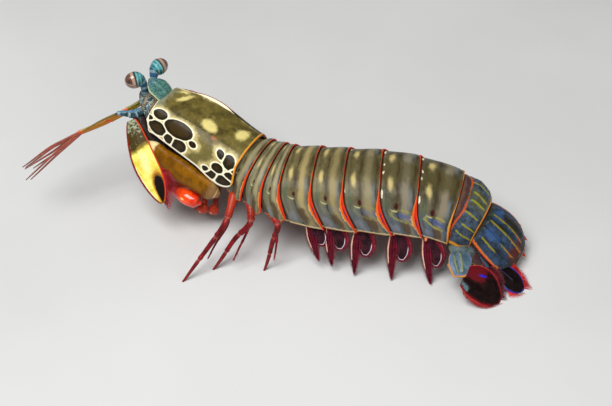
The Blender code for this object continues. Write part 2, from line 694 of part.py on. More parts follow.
def strikers():
    for side in ("left", "right"):
        sgn = 1 if side == "left" else -1
        # merus: long, deep, flattened sideways, lying under the rim of the carapace
        rows = ((-2.6, 11.6, -6.2, 1.4, 2.4), (-3.6, 11.9, -6.4, 2.1, 4.2), (-8.0, 12.2, -6.4, 2.5, 4.8), (-14.0, 12.2, -6.6, 2.8, 5.0),
                (-21.0, 11.8, -7.2, 2.7, 5.0), (-27.0, 11.2, -7.2, 2.4, 4.4), (-31.0, 10.7, -6.6, 2.1, 3.4), (-32.6, 10.4, -6.2, 1.2, 1.9))
        pts = [body(s, y * sgn, z) for s, y, z, a, b in rows]
        rings = []
        for i, (s, y, z, a, b) in enumerate(rows):
            t = (pts[min(i + 1, len(pts) - 1)] - pts[max(0, i - 1)]).normalized()
            rings.append(ring_oval(pts[i], t, axes_at(s)[2], a, b, 10))
        merus = loft("merus", rings)
        root = tube("root", [body(-6.5, 7.0 * sgn, -5.5), body(-4.6, 10.0 * sgn, -7.0), body(-6.0, 12.0 * sgn, -6.6)], [2.0, 1.9, 1.8], sides=6)
        fuse(merus, [root])
        finish(merus, "raptorial_merus_" + side, (0.45, 0.25, 0.04), clear=("carapace", "trunk", "thorax_6"))
        # carpus: short knuckle at the front end
        carpus = tube("carpus", [body(-32.0, 10.4 * sgn, -6.6), body(-34.6, 10.4 * sgn, -8.2), body(-34.4, 10.4 * sgn, -11.2)],
                      [1.9, 2.5, 2.0], sides=8)
        finish(carpus, "raptorial_carpus_" + side, (0.30, 0.18, 0.06), clear=("raptorial_merus_" + side, "carapace", "trunk"))
        # propodus: folded back below the merus
        rows = ((-34.4, 10.6, -13.0, 1.3, 1.6), (-33.0, 10.7, -13.6, 1.7, 2.2), (-27.0, 10.9, -14.0, 1.9, 2.3), (-19.0, 11.1, -13.9, 1.8, 2.0),
                (-13.5, 11.4, -13.4, 1.5, 1.6), (-11.4, 11.6, -13.2, 0.9, 1.0))
        pts = [body(s, y * sgn, z) for s, y, z, a, b in rows]
        rings = []
        for i, (s, y, z, a, b) in enumerate(rows):
            t = (pts[min(i + 1, len(pts) - 1)] - pts[max(0, i - 1)]).normalized()
            rings.append(ring_oval(pts[i], t, axes_at(s)[2], a, b, 8))
        prop = loft("propodus", rings)
        finish(prop, "raptorial_propodus_" + side, (0.50, 0.05, 0.03), clear=("raptorial_merus_" + side, "raptorial_carpus_" + side))
        # dactyl: swollen heel at the rear, slim point folded forward
        rows = ((-8.4, 12.9, -14.8, 0.7, 0.8), (-9.0, 13.1, -14.9, 1.9, 1.9), (-11.0, 13.3, -15.1, 2.6, 2.6), (-13.6, 13.2, -15.4, 2.2, 2.2),
                (-16.2, 13.0, -16.0, 1.4, 1.3), (-20.0, 12.7, -16.4, 1.0, 0.9), (-26.0, 12.2, -16.4, 0.75, 0.7), (-30.0, 11.8, -16.0, 0.35, 0.35))
        pts = [body(s, y * sgn, z) for s, y, z, a, b in rows]
        rings = []
        for i, (s, y, z, a, b) in enumerate(rows):
            t = (pts[min(i + 1, len(pts) - 1)] - pts[max(0, i - 1)]).normalized()
            rings.append(ring_oval(pts[i], t, axes_at(s)[2], a, b, 8))
        dact = loft("dactyl", rings)
        finish(dact, "raptorial_dactyl_" + side, (0.75, 0.07, 0.02),
               clear=("raptorial_propodus_" + side, "raptorial_merus_" + side), rough=0.2)


def maxillipeds():
    for side in ("left", "right"):
        sgn = 1 if side == "left" else -1
        for k, (s, y) in enumerate(((-9.6, 4.6), (-4.6, 5.4))):
            pts = [body(s, y * sgn, -4.6), body(s - 2.0, (y + 1.6) * sgn, -9.0), body(s - 0.5, (y + 1.2) * sgn, -13.2),
                   body(s - 4.0, (y + 0.2) * sgn, -15.6)]
            main = tube("maxilliped", pts, [1.2, 1.05, 0.95, 1.1], sides=6)
            palm = blade("palm", [body(s - 3.4, (y + 0.2) * sgn, -15.0), body(s - 4.8, y * sgn, -16.0), body(s - 6.6, (y - 0.2) * sgn, -16.9),
                                  body(s - 8.0, (y - 0.4) * sgn, -17.3)], axes_at(s)[1], [0.8, 1.9, 1.8, 0.6], [0.8, 1.9, 1.8, 0.6],
                         [1.2, 1.4, 1.1, 0.7], cols=3)
            fuse(main, [palm])
            clear = ["trunk", "raptorial_merus_" + side, "raptorial_dactyl_" + side, "raptorial_propodus_" + side]
            if k:
                clear.append("maxilliped_%d_%s" % (k + 3, side))
            finish(main, "maxilliped_%d_%s" % (k + 4, side), (0.50, 0.06, 0.03), clear=clear)


# --------------------------------------------------------------------- legs
LEGS = {
    1: ((2.4, 10.6, -0.6), [(-26.5, 0.8, 17.0), (-30.6, -3.4, 12.0), (-36.4, -8.4, 6.0), (-42.0, -12.6, -0.5)],
        [(-24.4, 0.6, 16.0), (-27.0, -2.2, 10.5), (-30.5, -5.6, 4.4)]),
    2: ((8.2, 11.4, -0.6), [(-18.6, -0.6, 17.0), (-22.6, -2.4, 12.6), (-27.4, -4.6, 6.0), (-32.0, -7.0, -0.5)],
        [(-18.0, -1.6, 15.0), (-19.6, -4.6, 10.0), (-21.0, -7.0, 5.4)]),
    3: ((13.8, 11.6, -0.4), [(-9.6, -1.6, 16.6), (-10.8, -3.4, 12.0), (-12.4, -5.4, 6.0), (-14.4, -7.4, -0.5)],
        [(-8.8, -2.2, 15.0), (-8.2, -4.6, 10.0), (-8.0, -6.6, 5.6)]),
}


def mirrored(p, s):
    """The same point on the other side of the body's middle plane at s."""
    left = axes_at(s)[1]
    left = Vector((left.x, left.y, 0)).normalized()
    rel = Vector(p) - line_at(s)
    return line_at(s) + rel - left * (2 * rel.dot(left))


def legs():
    for k, (root, main, twig) in LEGS.items():
        for side in ("left", "right"):
            sgn = 1 if side == "left" else -1
            s = root[0]
            start = body(root[0], root[1] * sgn, root[2])
            pts = [Vector(p) if side == "left" else mirrored(p, s) for p in main]
            side_pts = [Vector(p) if side == "left" else mirrored(p, s) for p in twig]
            line = [start, pts[0], pts[1], pts[2], pts[3]]
            obj = tube("leg", line, [1.35, 1.15, 0.85, 0.72, 0.55], sides=6, round_ends=True)
            branch = tube("branch", [pts[0].lerp(start, 0.2), side_pts[0], side_pts[1], side_pts[2]], [0.6, 0.5, 0.42, 0.3], sides=5)
            fuse(obj, [branch])
            clear = ["thorax_6", "thorax_7", "thorax_8", "trunk", "abdomen_1"]
            clear += ["leg_%d_%s" % (j, side) for j in range(1, k)] + ["maxilliped_%d_%s" % (j, side) for j in (4, 5)]
            finish(obj, "leg_%d_%s" % (k, side), (0.45, 0.02, 0.02), clear=clear)


# ---------------------------------------------------------------- swimmerets
def pleopods():
    marks = [16.3, 26.9, 37.2, 48.7, 60.1, 72.6]
    reach = (0.78, 0.86, 1.0, 1.05, 1.0)
    spot = (0.95, 0.72, 0.62, 0.56, 0.5)
    for i, (a, b) in enumerate(zip(marks, marks[1:])):
        for side in ("left", "right"):
            sgn = 1 if side == "left" else -1
            s = mix(a, b, spot[i])
            d, left, up = axes_at(s)
            flat_out = Vector((left.x * sgn, left.y * sgn, 0)).normalized()
            root = body(s, 10.4 * sgn, 2.6)
            knee = root + Vector((0, 0, -4.8)) + flat_out * 2.4
            obj = tube("pleopod", [root, root.lerp(knee, 0.5), knee], [2.0, 2.3, 2.0], sides=6, hint=d, flat=0.5)
            r = reach[i]
            drop = min(15.6 * r, knee.z - 0.5)
            leaves = []
            # long narrow outer leaf, then the broad round inner leaf behind it
            for lead, fall, swing, wid in ((-1.4, drop, 6.4 * r, 2.3), (2.6, drop * 0.62, 3.6 * r, 3.1)):
                tip = knee + Vector((0, 0, -fall)) + flat_out * swing + d * (lead + 0.6)
                start = knee + Vector((0, 0, 0.8)) + d * (lead * 0.35)
                rows = ((0, 0.5), (0.33, 1.0), (0.72, 0.88), (1.0, 0.2))
                pts = [start.lerp(tip, t) + d * (math.sin(math.pi * t) * lead * 0.35) for t, q in rows]
                nrm = (flat_out * 0.72 + Vector((0, 0, 0.55)) + d * (-0.25 if lead < 0 else -0.1)).normalized()
                w = [wid * q for t, q in rows]
                leaves.append(blade("leaf", pts, nrm, w, w, [0.9, 0.8, 0.7, 0.6], cols=3))
            fuse(obj, leaves)
            clear = ["abdomen_%d" % j for j in range(max(1, i), min(7, i + 3))] + (["thorax_8"] if not i else [])
            if i:
                clear.append("pleopod_%d_%s" % (i, side))
            finish(obj, "pleopod_%d_%s" % (i + 1, side), (0.30, 0.03, 0.07), clear=clear)


# ----------------------------------------------------------------- tail fan
TELSON_S = 83.05


def telson():
    d, left, up = axes_at(90)
    base = line_at(TELSON_S) + axes_at(TELSON_S)[2] * 3.2 + d * 0.2
    length = 18.4
    rows = ((0.0, 8.9, 2.6), (0.06, 9.3, 2.8), (0.2, 9.8, 2.8), (0.4, 9.9, 2.6), (0.6, 9.2, 2.3), (0.78, 7.8, 1.9), (0.9, 6.0, 1.5), (0.97, 4.0, 1.2), (1.0, 2.4, 1.0))
    pts = [base + d * (length * t) + up * (1.0 * math.sin(math.pi * t)) for t, w, th in rows]
    widths = [w for t, w, th in rows]
    thick = [th for t, w, th in rows]
    obj = blade("telson", pts, up, widths, widths, thick, cols=10, bulge=0.05,
                ridges=((0.0, 1.6, 0.9), (0.4, 1.5, 0.5), (-0.4, 1.5, 0.5)))
    teeth = []
    for t, w, tilt, size in ((0.62, 8.4, 0.35, 1.0), (0.85, 6.1, 0.18, 1.15), (1.0, 1.9, 0.03, 1.25)):
        for sgn in (1, -1):
            p = base + d * (length * t) + left * (w * 0.94 * sgn) + up * (0.8 * math.sin(math.pi * t))
            tip = p + (d + left * (tilt * sgn)).normalized() * (2.6 * size)
            teeth.append(cone("tooth", p, tip, 0.8 * size, sides=5, sink=0.5))
    fuse(obj, teeth)
    return finish(obj, "telson", (0.10, 0.20, 0.26), clear=("abdomen_6",))


def fringed(name, start, tip, normal, widths, thick, bow, hair_from, count, length, cols=6, hair_to=0.985):
    """A leaf of the tail fan with a fringe fused along both edges."""
    run = tip - start
    pts = [start + run * t + normal * (math.sin(math.pi * t) * bow) for t, a, b in widths]
    lefts = [a for t, a, b in widths]
    rights = [b for t, a, b in widths]
    obj = blade(name, pts, normal, lefts, rights, [mix(thick[0], thick[1], t) for t, a, b in widths], cols=cols, bulge=0.02)
    frames = path_frames(pts, normal)
    hairs = []
    for edge in (1, -1):
        for k in range(count):
            q = k / max(1, count - 1)
            t = mix(hair_from, hair_to, q)
            i = max(j for j, row in enumerate(widths) if row[0] <= t)
            j = min(i + 1, len(widths) - 1)
            f = (t - widths[i][0]) / max(1e-6, widths[j][0] - widths[i][0])
            w = mix(rights[i], rights[j], f) if edge > 0 else mix(lefts[i], lefts[j], f)
            tangent, across, nr = frames[i]
            root = pts[i].lerp(pts[j], f) + across * ((w - 0.3) * edge)
            end = root + (across * edge * mix(0.8, 0.2, q) + tangent * mix(0.6, 1.0, q)).normalized() * length
            end.z = max(end.z, 0.3)
            hairs.append(cone("hair", root, end, 0.24, sides=3, sink=0.3, hint=nr))
    return obj, hairs


TAIL = {
    # root of the limb, joint of the outer branch, its tip, inner branch start
    # and tip, then the way each leaf faces
    "left": (Vector((50.6, -5.8, 13.2)), Vector((51.6, -18.4, 8.6)), Vector((62.8, -22.4, -0.3)), Vector((58.6, -9.4, 9.4)),
             Vector((73.2, -16.4, -0.3)), Vector((0.10, -0.45, 0.88)), Vector((0.30, -0.62, 0.72)), Vector((0.34, -0.44, 0.82))),
}


def scaled(rows, k):
    return tuple((t, a * k, b * k) for t, a, b in rows)


def uropods():
    tail = dict(TAIL)
    under = (axes_at(95)[2] + axes_at(95)[1] * -0.1).normalized()
    tail["right"] = (Vector((60.6, 9.4, 11.6)), Vector((66.3, 8.6, 5.2)), Vector((72.4, 8.2, -0.3)),
                     Vector((61.6, 4.4, 9.2)), Vector((72.0, -1.2, -0.3)), under, under, under)
    for side in ("left", "right"):
        root, joint, ex_tip, en_start, en_tip, n1, n2, n3 = tail[side]
        near_side = side == "left"
        slim = 1.0 if near_side else 0.72
        run = (joint - root).normalized()
        knuckle = root + run * (4.6 if near_side else 3.0)
        base = tube("uropod_base", [root, root.lerp(knuckle, 0.5), knuckle], [3.0 * slim, 3.3 * slim, 2.9 * slim], sides=8, hint=n1, flat=0.55)
        process = cone("process", knuckle.lerp(en_start, 0.4), knuckle.lerp(en_start, 0.4) + (en_tip - en_start).normalized() * 5.0 * slim, 0.7, sides=5, sink=0.7)
        fuse(base, [process])
        finish(base, "uropod_base_" + side, (0.16, 0.24, 0.28), clear=("abdomen_6", "telson", "abdomen_5"))
        w1 = ((0.0, 2.8, 2.8), (0.12, 3.4, 3.4), (0.45, 4.1, 4.1), (0.8, 4.2, 4.2), (0.95, 3.9, 3.9), (1.0, 3.4, 3.4))
        exo, hairs = fringed("exopod", knuckle + run * 0.2, joint, n1, scaled(w1, slim), (2.0, 1.3), 0.4, 0.4, 3, 1.3, hair_to=0.76)
        finish(exo, "uropod_exopod_" + side, (0.14, 0.26, 0.32), clear=("uropod_base_" + side, "abdomen_6", "telson"), hairs=hairs)
        w2 = ((0.0, 3.0, 3.0), (0.12, 4.0, 4.0), (0.4, 4.7, 4.7), (0.7, 4.1, 4.1), (0.88, 2.8, 2.8), (1.0, 1.2, 1.2))
        pad, hairs = fringed("paddle", joint + (ex_tip - joint) * 0.03, ex_tip, n2, scaled(w2, slim), (1.2, 0.8), 0.3, 0.35, 7 if near_side else 4, 2.2)
        finish(pad, "uropod_paddle_" + side, (0.10, 0.03, 0.06), clear=("uropod_exopod_" + side, "uropod_base_" + side, "telson"), hairs=hairs)
        w3 = ((0.0, 1.3, 1.3), (0.12, 1.9, 1.9), (0.35, 2.9, 2.9), (0.6, 3.8, 3.8), (0.8, 3.6, 3.6), (0.93, 2.4, 2.4), (1.0, 1.1, 1.1))
        endo, hairs = fringed("endopod", en_start, en_tip, n3, scaled(w3, slim), (1.2, 0.8), 0.4, 0.5, 7 if near_side else 4, 2.6)
        finish(endo, "uropod_endopod_" + side, (0.07, 0.07, 0.12),
               clear=("uropod_base_" + side, "uropod_exopod_" + side, "uropod_paddle_" + side, "telson", "abdomen_6"), hairs=hairs)


def main():
    somites()
    carapace()
    trunk()
    head()
    rostrum()
    eyes()
    antennules()
    strikers()
    antennae()
    maxillipeds()
    legs()
    pleopods()
    telson()
    uropods()
    low = Vector((1e9, 1e9, 1e9))
    high = Vector((-1e9, -1e9, -1e9))
    for obj in PARTS.values():
        for v in obj.data.vertices:
            for a in range(3):
                low[a] = min(low[a], v.co[a])
                high[a] = max(high[a], v.co[a])
    shift = Vector((-(low.x + high.x) / 2, -(low.y + high.y) / 2, -low.z))
    global SHIFT
    SHIFT = tuple(shift)
    total = 0
    for obj in PARTS.values():
        obj.data.transform(Matrix.Scale(MM, 4) @ Matrix.Translation(shift))
        total += len(obj.data.polygons)
    print({name: len(obj.data.polygons) for name, obj in sorted(PARTS.items(), key=lambda kv: -len(kv[1].data.polygons))})
    print("shift_mm", tuple(round(v, 3) for v in shift), "nodes", len(PARTS), "faces", total)


main()
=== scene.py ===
"""Mantis shrimp, life size and still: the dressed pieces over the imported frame.

Lengths are millimetres, with the head toward -X and the animal's left toward -Y,
and turn into metres of the shared frame when a mesh is made.
"""
import logging
import math
from dataclasses import dataclass, field
from enum import Enum

import bpy
import numpy as np
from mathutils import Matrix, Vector


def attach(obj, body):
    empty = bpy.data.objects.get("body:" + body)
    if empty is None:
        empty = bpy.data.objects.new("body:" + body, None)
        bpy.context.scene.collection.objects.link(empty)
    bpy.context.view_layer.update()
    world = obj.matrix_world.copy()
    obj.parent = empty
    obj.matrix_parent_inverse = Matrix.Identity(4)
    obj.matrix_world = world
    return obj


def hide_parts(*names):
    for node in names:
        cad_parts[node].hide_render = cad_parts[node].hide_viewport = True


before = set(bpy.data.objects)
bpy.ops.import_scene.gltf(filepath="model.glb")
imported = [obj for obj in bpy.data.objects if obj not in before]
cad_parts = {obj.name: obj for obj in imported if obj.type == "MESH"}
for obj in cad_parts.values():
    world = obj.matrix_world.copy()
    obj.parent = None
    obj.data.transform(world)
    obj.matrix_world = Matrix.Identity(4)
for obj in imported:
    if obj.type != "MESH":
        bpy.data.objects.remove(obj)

Array = np.ndarray
Colour = tuple[float, float, float]
Point = tuple[float, float, float]
Triple = tuple[Array, Array, Array]
Knots = tuple[tuple[float, ...], ...]
Socket = bpy.types.NodeSocket

MM = 0.001
FAR = 9.0
TINY = 1e-6
CLEARANCE = 0.03
SHIFT = np.array([11.43, -15.34, 0.0])
UP = np.array([0.0, 0.0, 1.0])
log = logging.getLogger("mantis_shrimp")


class Side(Enum):
    """The two sides of the animal, with the sign of its left direction."""

    LEFT = 1
    RIGHT = -1

    @property
    def word(self) -> str:
        """The side's name in a node's name."""
        return self.name.lower()


# Numbers

def ramp(value: Array | float, low: float, high: float) -> Array:
    """Rise smoothly from 0 at low to 1 at high, or fall where high is lower.

    Args:
        value: What is measured.
        low: Where the rise starts.
        high: Where it ends.

    Returns:
        The share, from 0 to 1.
    """
    t = np.clip((np.asarray(value, float) - low) / (high - low), 0.0, 1.0)
    return t * t * (3.0 - 2.0 * t)


def hill(value: Array, top: float, width: float) -> Array:
    """A soft hill over a value, 1 at its top and 0.37 a width away."""
    return np.exp(-(((value - top) / width) ** 2))


def curve_through(knots: Array, at: Array) -> Array:
    """A soft curve through two-column knots."""
    return sum(np.interp(at + k, knots[:, 0], knots[:, 1]) for k in (-1.5, -0.5, 0.5, 1.5)) / 4


def unit(v: Array) -> Array:
    """Vectors of length one along the last axis."""
    return v / np.maximum(np.linalg.norm(v, axis=-1, keepdims=True), 1e-9)


def blend(a: Array | float, b: Array | float, t: Array | float) -> Array:
    """The value a share t of the way from a to b."""
    return a + (b - a) * t


def spline(rows: Array | list, at: Array) -> Array:
    """Draw a smooth curve through rows of numbers.

    Args:
        rows: One row for each knot; the first three columns are its place.
        at: Shares of the curve's length, from 0 to 1.

    Returns:
        One row for each share, with as many columns as the knots have.
    """
    rows = np.asarray(rows, float)
    pace = np.linalg.norm(np.diff(rows[:, :3], axis=0), axis=1)
    knots = np.concatenate([[0.0], np.cumsum(pace)]) / pace.sum()
    n, h = len(rows), np.diff(knots)
    bend = np.zeros_like(rows)
    if n > 2:
        system, right = np.eye(n), np.zeros_like(rows)
        for i in range(1, n - 1):
            system[i, i - 1:i + 2] = h[i - 1], 2 * (h[i - 1] + h[i]), h[i]
            right[i] = 6 * ((rows[i + 1] - rows[i]) / h[i] - (rows[i] - rows[i - 1]) / h[i - 1])
        bend = np.linalg.solve(system, right)
    i = np.clip(np.searchsorted(knots, at, "right") - 1, 0, n - 2)
    a = ((knots[i + 1] - at) / h[i])[:, None]
    b, hh = 1 - a, (h[i] ** 2)[:, None]
    return a * rows[i] + b * rows[i + 1] + ((a ** 3 - a) * bend[i] + (b ** 3 - b) * bend[i + 1]) * hh / 6


def frames(path: Array, hint: Array) -> Triple:
    """Directions along a path.

    Args:
        path: Points, one a row.
        hint: The way the path's upper face looks, one or one a point.

    Returns:
        Forward, sideways and upward unit vectors at each point.
    """
    forward = unit(np.gradient(path, axis=0))
    side = unit(np.cross(forward, np.broadcast_to(hint, path.shape)))
    return forward, side, np.cross(side, forward)


# Body line

@dataclass(frozen=True)
class BodyLine:
    """The bent line along the back, with the width and height of the shell.

    Each station holds the distance, the heading toward the left, the downward
    pitch, the roll toward the left, the half width, the height of the arch and
    the backward sweep of its lower corners.
    """

    stations: Knots = (
        (-52.0, 33.5, 15.0, -2.0, 8.0, 9.0, 0.0), (-36.0, 33.5, 15.0, -2.0, 9.8, 10.8, 0.0),
        (-27.0, 32.3, 15.3, -2.0, 10.6, 12.0, 0.0), (-18.0, 31.0, 15.6, -2.0, 11.3, 12.8, 0.0),
        (-9.0, 29.5, 16.0, -2.0, 12.2, 13.2, 0.0), (0.0, 28.0, 16.2, -1.9, 12.9, 13.5, 0.0),
        (5.2, 25.3, 11.8, -0.6, 13.9, 13.5, 1.2), (10.9, 20.6, 8.2, 0.7, 15.2, 13.4, 2.6),
        (16.3, 14.4, 2.0, 2.0, 15.1, 13.8, 4.6), (26.9, 10.6, -1.3, 3.3, 15.8, 14.8, 5.2),
        (37.2, 8.4, -2.1, 4.6, 16.0, 15.0, 5.3), (48.7, 6.6, -1.0, 5.8, 16.2, 15.0, 5.1),
        (60.1, 7.3, 4.9, 7.1, 15.4, 14.2, 4.0), (72.6, 14.4, 15.3, 8.4, 14.1, 12.7, 2.3),
        (77.5, 18.5, 19.8, 9.0, 13.3, 12.0, 2.0), (81.0, 21.5, 23.0, 9.5, 11.2, 10.2, 1.7),
        (82.9, 23.3, 25.0, 9.7, 9.7, 8.0, 1.6), (84.5, 24.0, 41.0, 9.7, 8.8, 5.0, 1.2),
        (106.0, 24.0, 43.0, 9.7, 8.0, 4.0, 0.0))
    anchor_s: float = 16.3
    anchor: Point = (-6.5, 13.85, 19.4)
    step: float = 0.5
    power: float = 2.25

    def __post_init__(self) -> None:
        """Walk the line once, half a millimetre at a time, from the anchor."""
        rows = np.array(self.stations)
        object.__setattr__(self, "rows", rows)
        first = int((rows[0, 0] - self.anchor_s) / self.step) - 1
        last = int((rows[-1, 0] - self.anchor_s) / self.step) + 2
        spots = self.anchor_s + np.arange(first, last + 1) * self.step
        middle = (spots[1:] + spots[:-1]) / 2
        walk = np.concatenate([np.zeros((1, 3)), np.cumsum(self.axes(middle)[0] * self.step, axis=0)])
        object.__setattr__(self, "spots", spots)
        object.__setattr__(self, "walk", walk - walk[-first] + np.array(self.anchor))

    def at(self, s: Array, column: int) -> Array:
        """One column of the stations at distances along the line."""
        return np.interp(s, self.rows[:, 0], self.rows[:, column])

    def axes(self, s: Array) -> Triple:
        """Tailward, left and up directions.

        Args:
            s: Distances along the line.

        Returns:
            Three arrays of unit vectors.
        """
        s = np.asarray(s, float)
        head, pitch, roll = (np.radians(self.at(s, k)) for k in (1, 2, 3))
        tail = np.stack([np.cos(pitch) * np.cos(head), -np.cos(pitch) * np.sin(head), -np.sin(pitch)], -1)
        left = np.stack([-np.sin(head), -np.cos(head), 0 * head], -1)
        up = np.cross(left, tail)
        c, v = np.cos(roll)[..., None], np.sin(roll)[..., None]
        return tail, left * c - up * v, up * c + left * v

    def place(self, s: Array | float, y: Array | float, z: Array | float, x: Array | float = 0.0) -> Array:
        """Points given along the body, to the left and up.

        Args:
            s: Distance along the line.
            y: Distance to the left.
            z: Height over the line.
            x: Extra distance toward the tail.

        Returns:
            Points in millimetres.
        """
        s, y, z, x = np.broadcast_arrays(*(np.asarray(v, float) for v in (s, y, z, x)))
        tail, left, up = self.axes(s)
        base = np.stack([np.interp(s, self.spots, self.walk[:, k]) for k in range(3)], -1)
        return base + tail * x[..., None] + left * y[..., None] + up * z[..., None]

    def arch(self, s: Array, a: Array, lift: Array | float = 0.0) -> Triple:
        """The shell's outline.

        Args:
            s: Distance along the line.
            a: Angle from the left margin over the back, from 0 to pi.
            lift: How far the outline is moved outward.

        Returns:
            Left offset, height and tailward sweep.
        """
        w, h, sweep = self.at(s, 4) + lift, self.at(s, 5) + lift, self.at(s, 6)
        c, v = np.cos(a), np.sin(a)
        y = w * np.sign(c) * abs(c) ** (2 / self.power)
        z = h * abs(v) ** (2 / self.power)
        return y, z, sweep * (abs(y) / w) ** 4 * (1 - z / h)


LINE = BodyLine()


def at(s: float, y: float, z: float) -> Array:
    """One point given along the body, to the left and up."""
    return LINE.place(s, y, z)


# Meshes

@dataclass
class Part:
    """A bare mesh: points, faces, values kept on the points and root places."""

    points: Array
    quads: Array
    tris: Array
    marks: dict[str, Array] = field(default_factory=dict)
    roots: Array | None = None

    def __getitem__(self, name: str) -> Array:
        """The values of one mark."""
        return self.marks[name]

    def __setitem__(self, name: str, values: Array) -> None:
        """Keep one mark's values."""
        self.marks[name] = values

    def mark(self, **values: Array | float) -> None:
        """Keep values on the points; a plain number is kept on every one."""
        for name, value in values.items():
            self.marks[name] = value + np.zeros(len(self.points))


def grid(points: Array, marks: dict[str, Array], wrap: bool = True, caps: bool = True) -> Part:
    """Skin a grid of points.

    Args:
        points: Rows, columns, three numbers.
        marks: Values kept on the points, rows by columns.
        wrap: Whether the last column joins the first.
        caps: Whether the first and last row are closed by fans.

    Returns:
        The mesh.
    """
    rows, columns = points.shape[:2]
    index = np.arange(rows * columns).reshape(rows, columns)
    if wrap:
        index = np.concatenate([index, index[:, :1]], axis=1)
    quads = np.stack([index[:-1, :-1], index[:-1, 1:], index[1:, 1:], index[1:, :-1]], -1).reshape(-1, 4)
    flat = points.reshape(-1, 3)
    values = {k: np.broadcast_to(v, (rows, columns)).reshape(-1) for k, v in marks.items()}
    tris = np.zeros((0, 3), int)
    if caps and wrap:
        fans = []
        for row, turn in ((index[0], 1), (index[-1], -1)):
            middle = len(flat)
            flat = np.concatenate([flat, flat[row[:-1]].mean(0)[None]])
            values = {k: np.append(v, v[row[:-1]].mean()) for k, v in values.items()}
            fans.append(np.stack([np.full(len(row) - 1, middle), row[1:], row[:-1]][::turn], -1))
        tris = np.concatenate(fans)
    return Part(flat, quads, tris, values)


def tube(rows: Array | list, count: int = 40, sides: int = 24, hint: Array = UP, steps: int = 4,
         knots: tuple[float, ...] = (), knot_size: float = 0.0) -> Part:
    """Sweep an oval along a smooth curve, with round ends.

    Args:
        rows: Knots: place, half width, and half height if it differs.
        count: Rings along the curve.
        sides: Points around each ring.
        hint: The way the oval's short axis looks.
        steps: Rings that round each end.
        knots: Shares of the length where a joint pinches the limb.
        knot_size: Depth of the pinch as a share of the width.

    Returns:
        The mesh, with marks run and turn.
    """
    share = np.linspace(0.0, 1.0, count)
    full = spline(rows, share)
    path, wide = full[:, :3], np.maximum(full[:, 3], 0.04)
    high = np.maximum(full[:, 4], 0.04) if full.shape[1] > 4 else wide
    for knot in knots:
        near = np.exp(-((share - knot) * (count / 2.2)) ** 2)
        swell = np.exp(-((share - knot + 2.6 / count) * (count / 2.6)) ** 2)
        wide, high = (v * (1 - knot_size * near + knot_size * 0.8 * swell) for v in (wide, high))
    forward, side, over = frames(path, hint)
    angles = np.linspace(0, math.pi / 2, steps + 1)[1:]
    for end in (0, -1):
        reach = np.sin(angles)[:, None] * forward[end] * min(wide[end], high[end]) * (1 if end else -1)
        stack = [path[end] + reach, np.repeat(side[end:][:1], steps, 0),
                 np.repeat(over[end:][:1], steps, 0)]
        slim = np.maximum(np.cos(angles), 0.02)
        ends = [*stack, wide[end] * slim, high[end] * slim, np.full(steps, share[end])]
        whole = [path, side, over, wide, high, share]
        if end == 0:
            whole = [np.concatenate([e[::-1], w]) for e, w in zip(ends, whole)]
            forward = np.concatenate([np.repeat(forward[:1], steps, 0), forward])
        else:
            whole = [np.concatenate([w, e]) for e, w in zip(ends, whole)]
        path, side, over, wide, high, share = whole
    turn = np.linspace(0, 2 * math.pi, sides, endpoint=False)
    points = (path[:, None] + side[:, None] * (wide[:, None] * np.cos(turn))[..., None]
              + over[:, None] * (high[:, None] * np.sin(turn))[..., None])
    return grid(points, {"run": share[:, None], "turn": np.sin(turn)[None]})


@dataclass(frozen=True)
class Keel:
    """A raised line on a leaf: place across it, half width, height, start and end."""

    across: float
    width: float
    height: float
    start: float = 0.0
    end: float = 1.0
    drift: float = 0.0


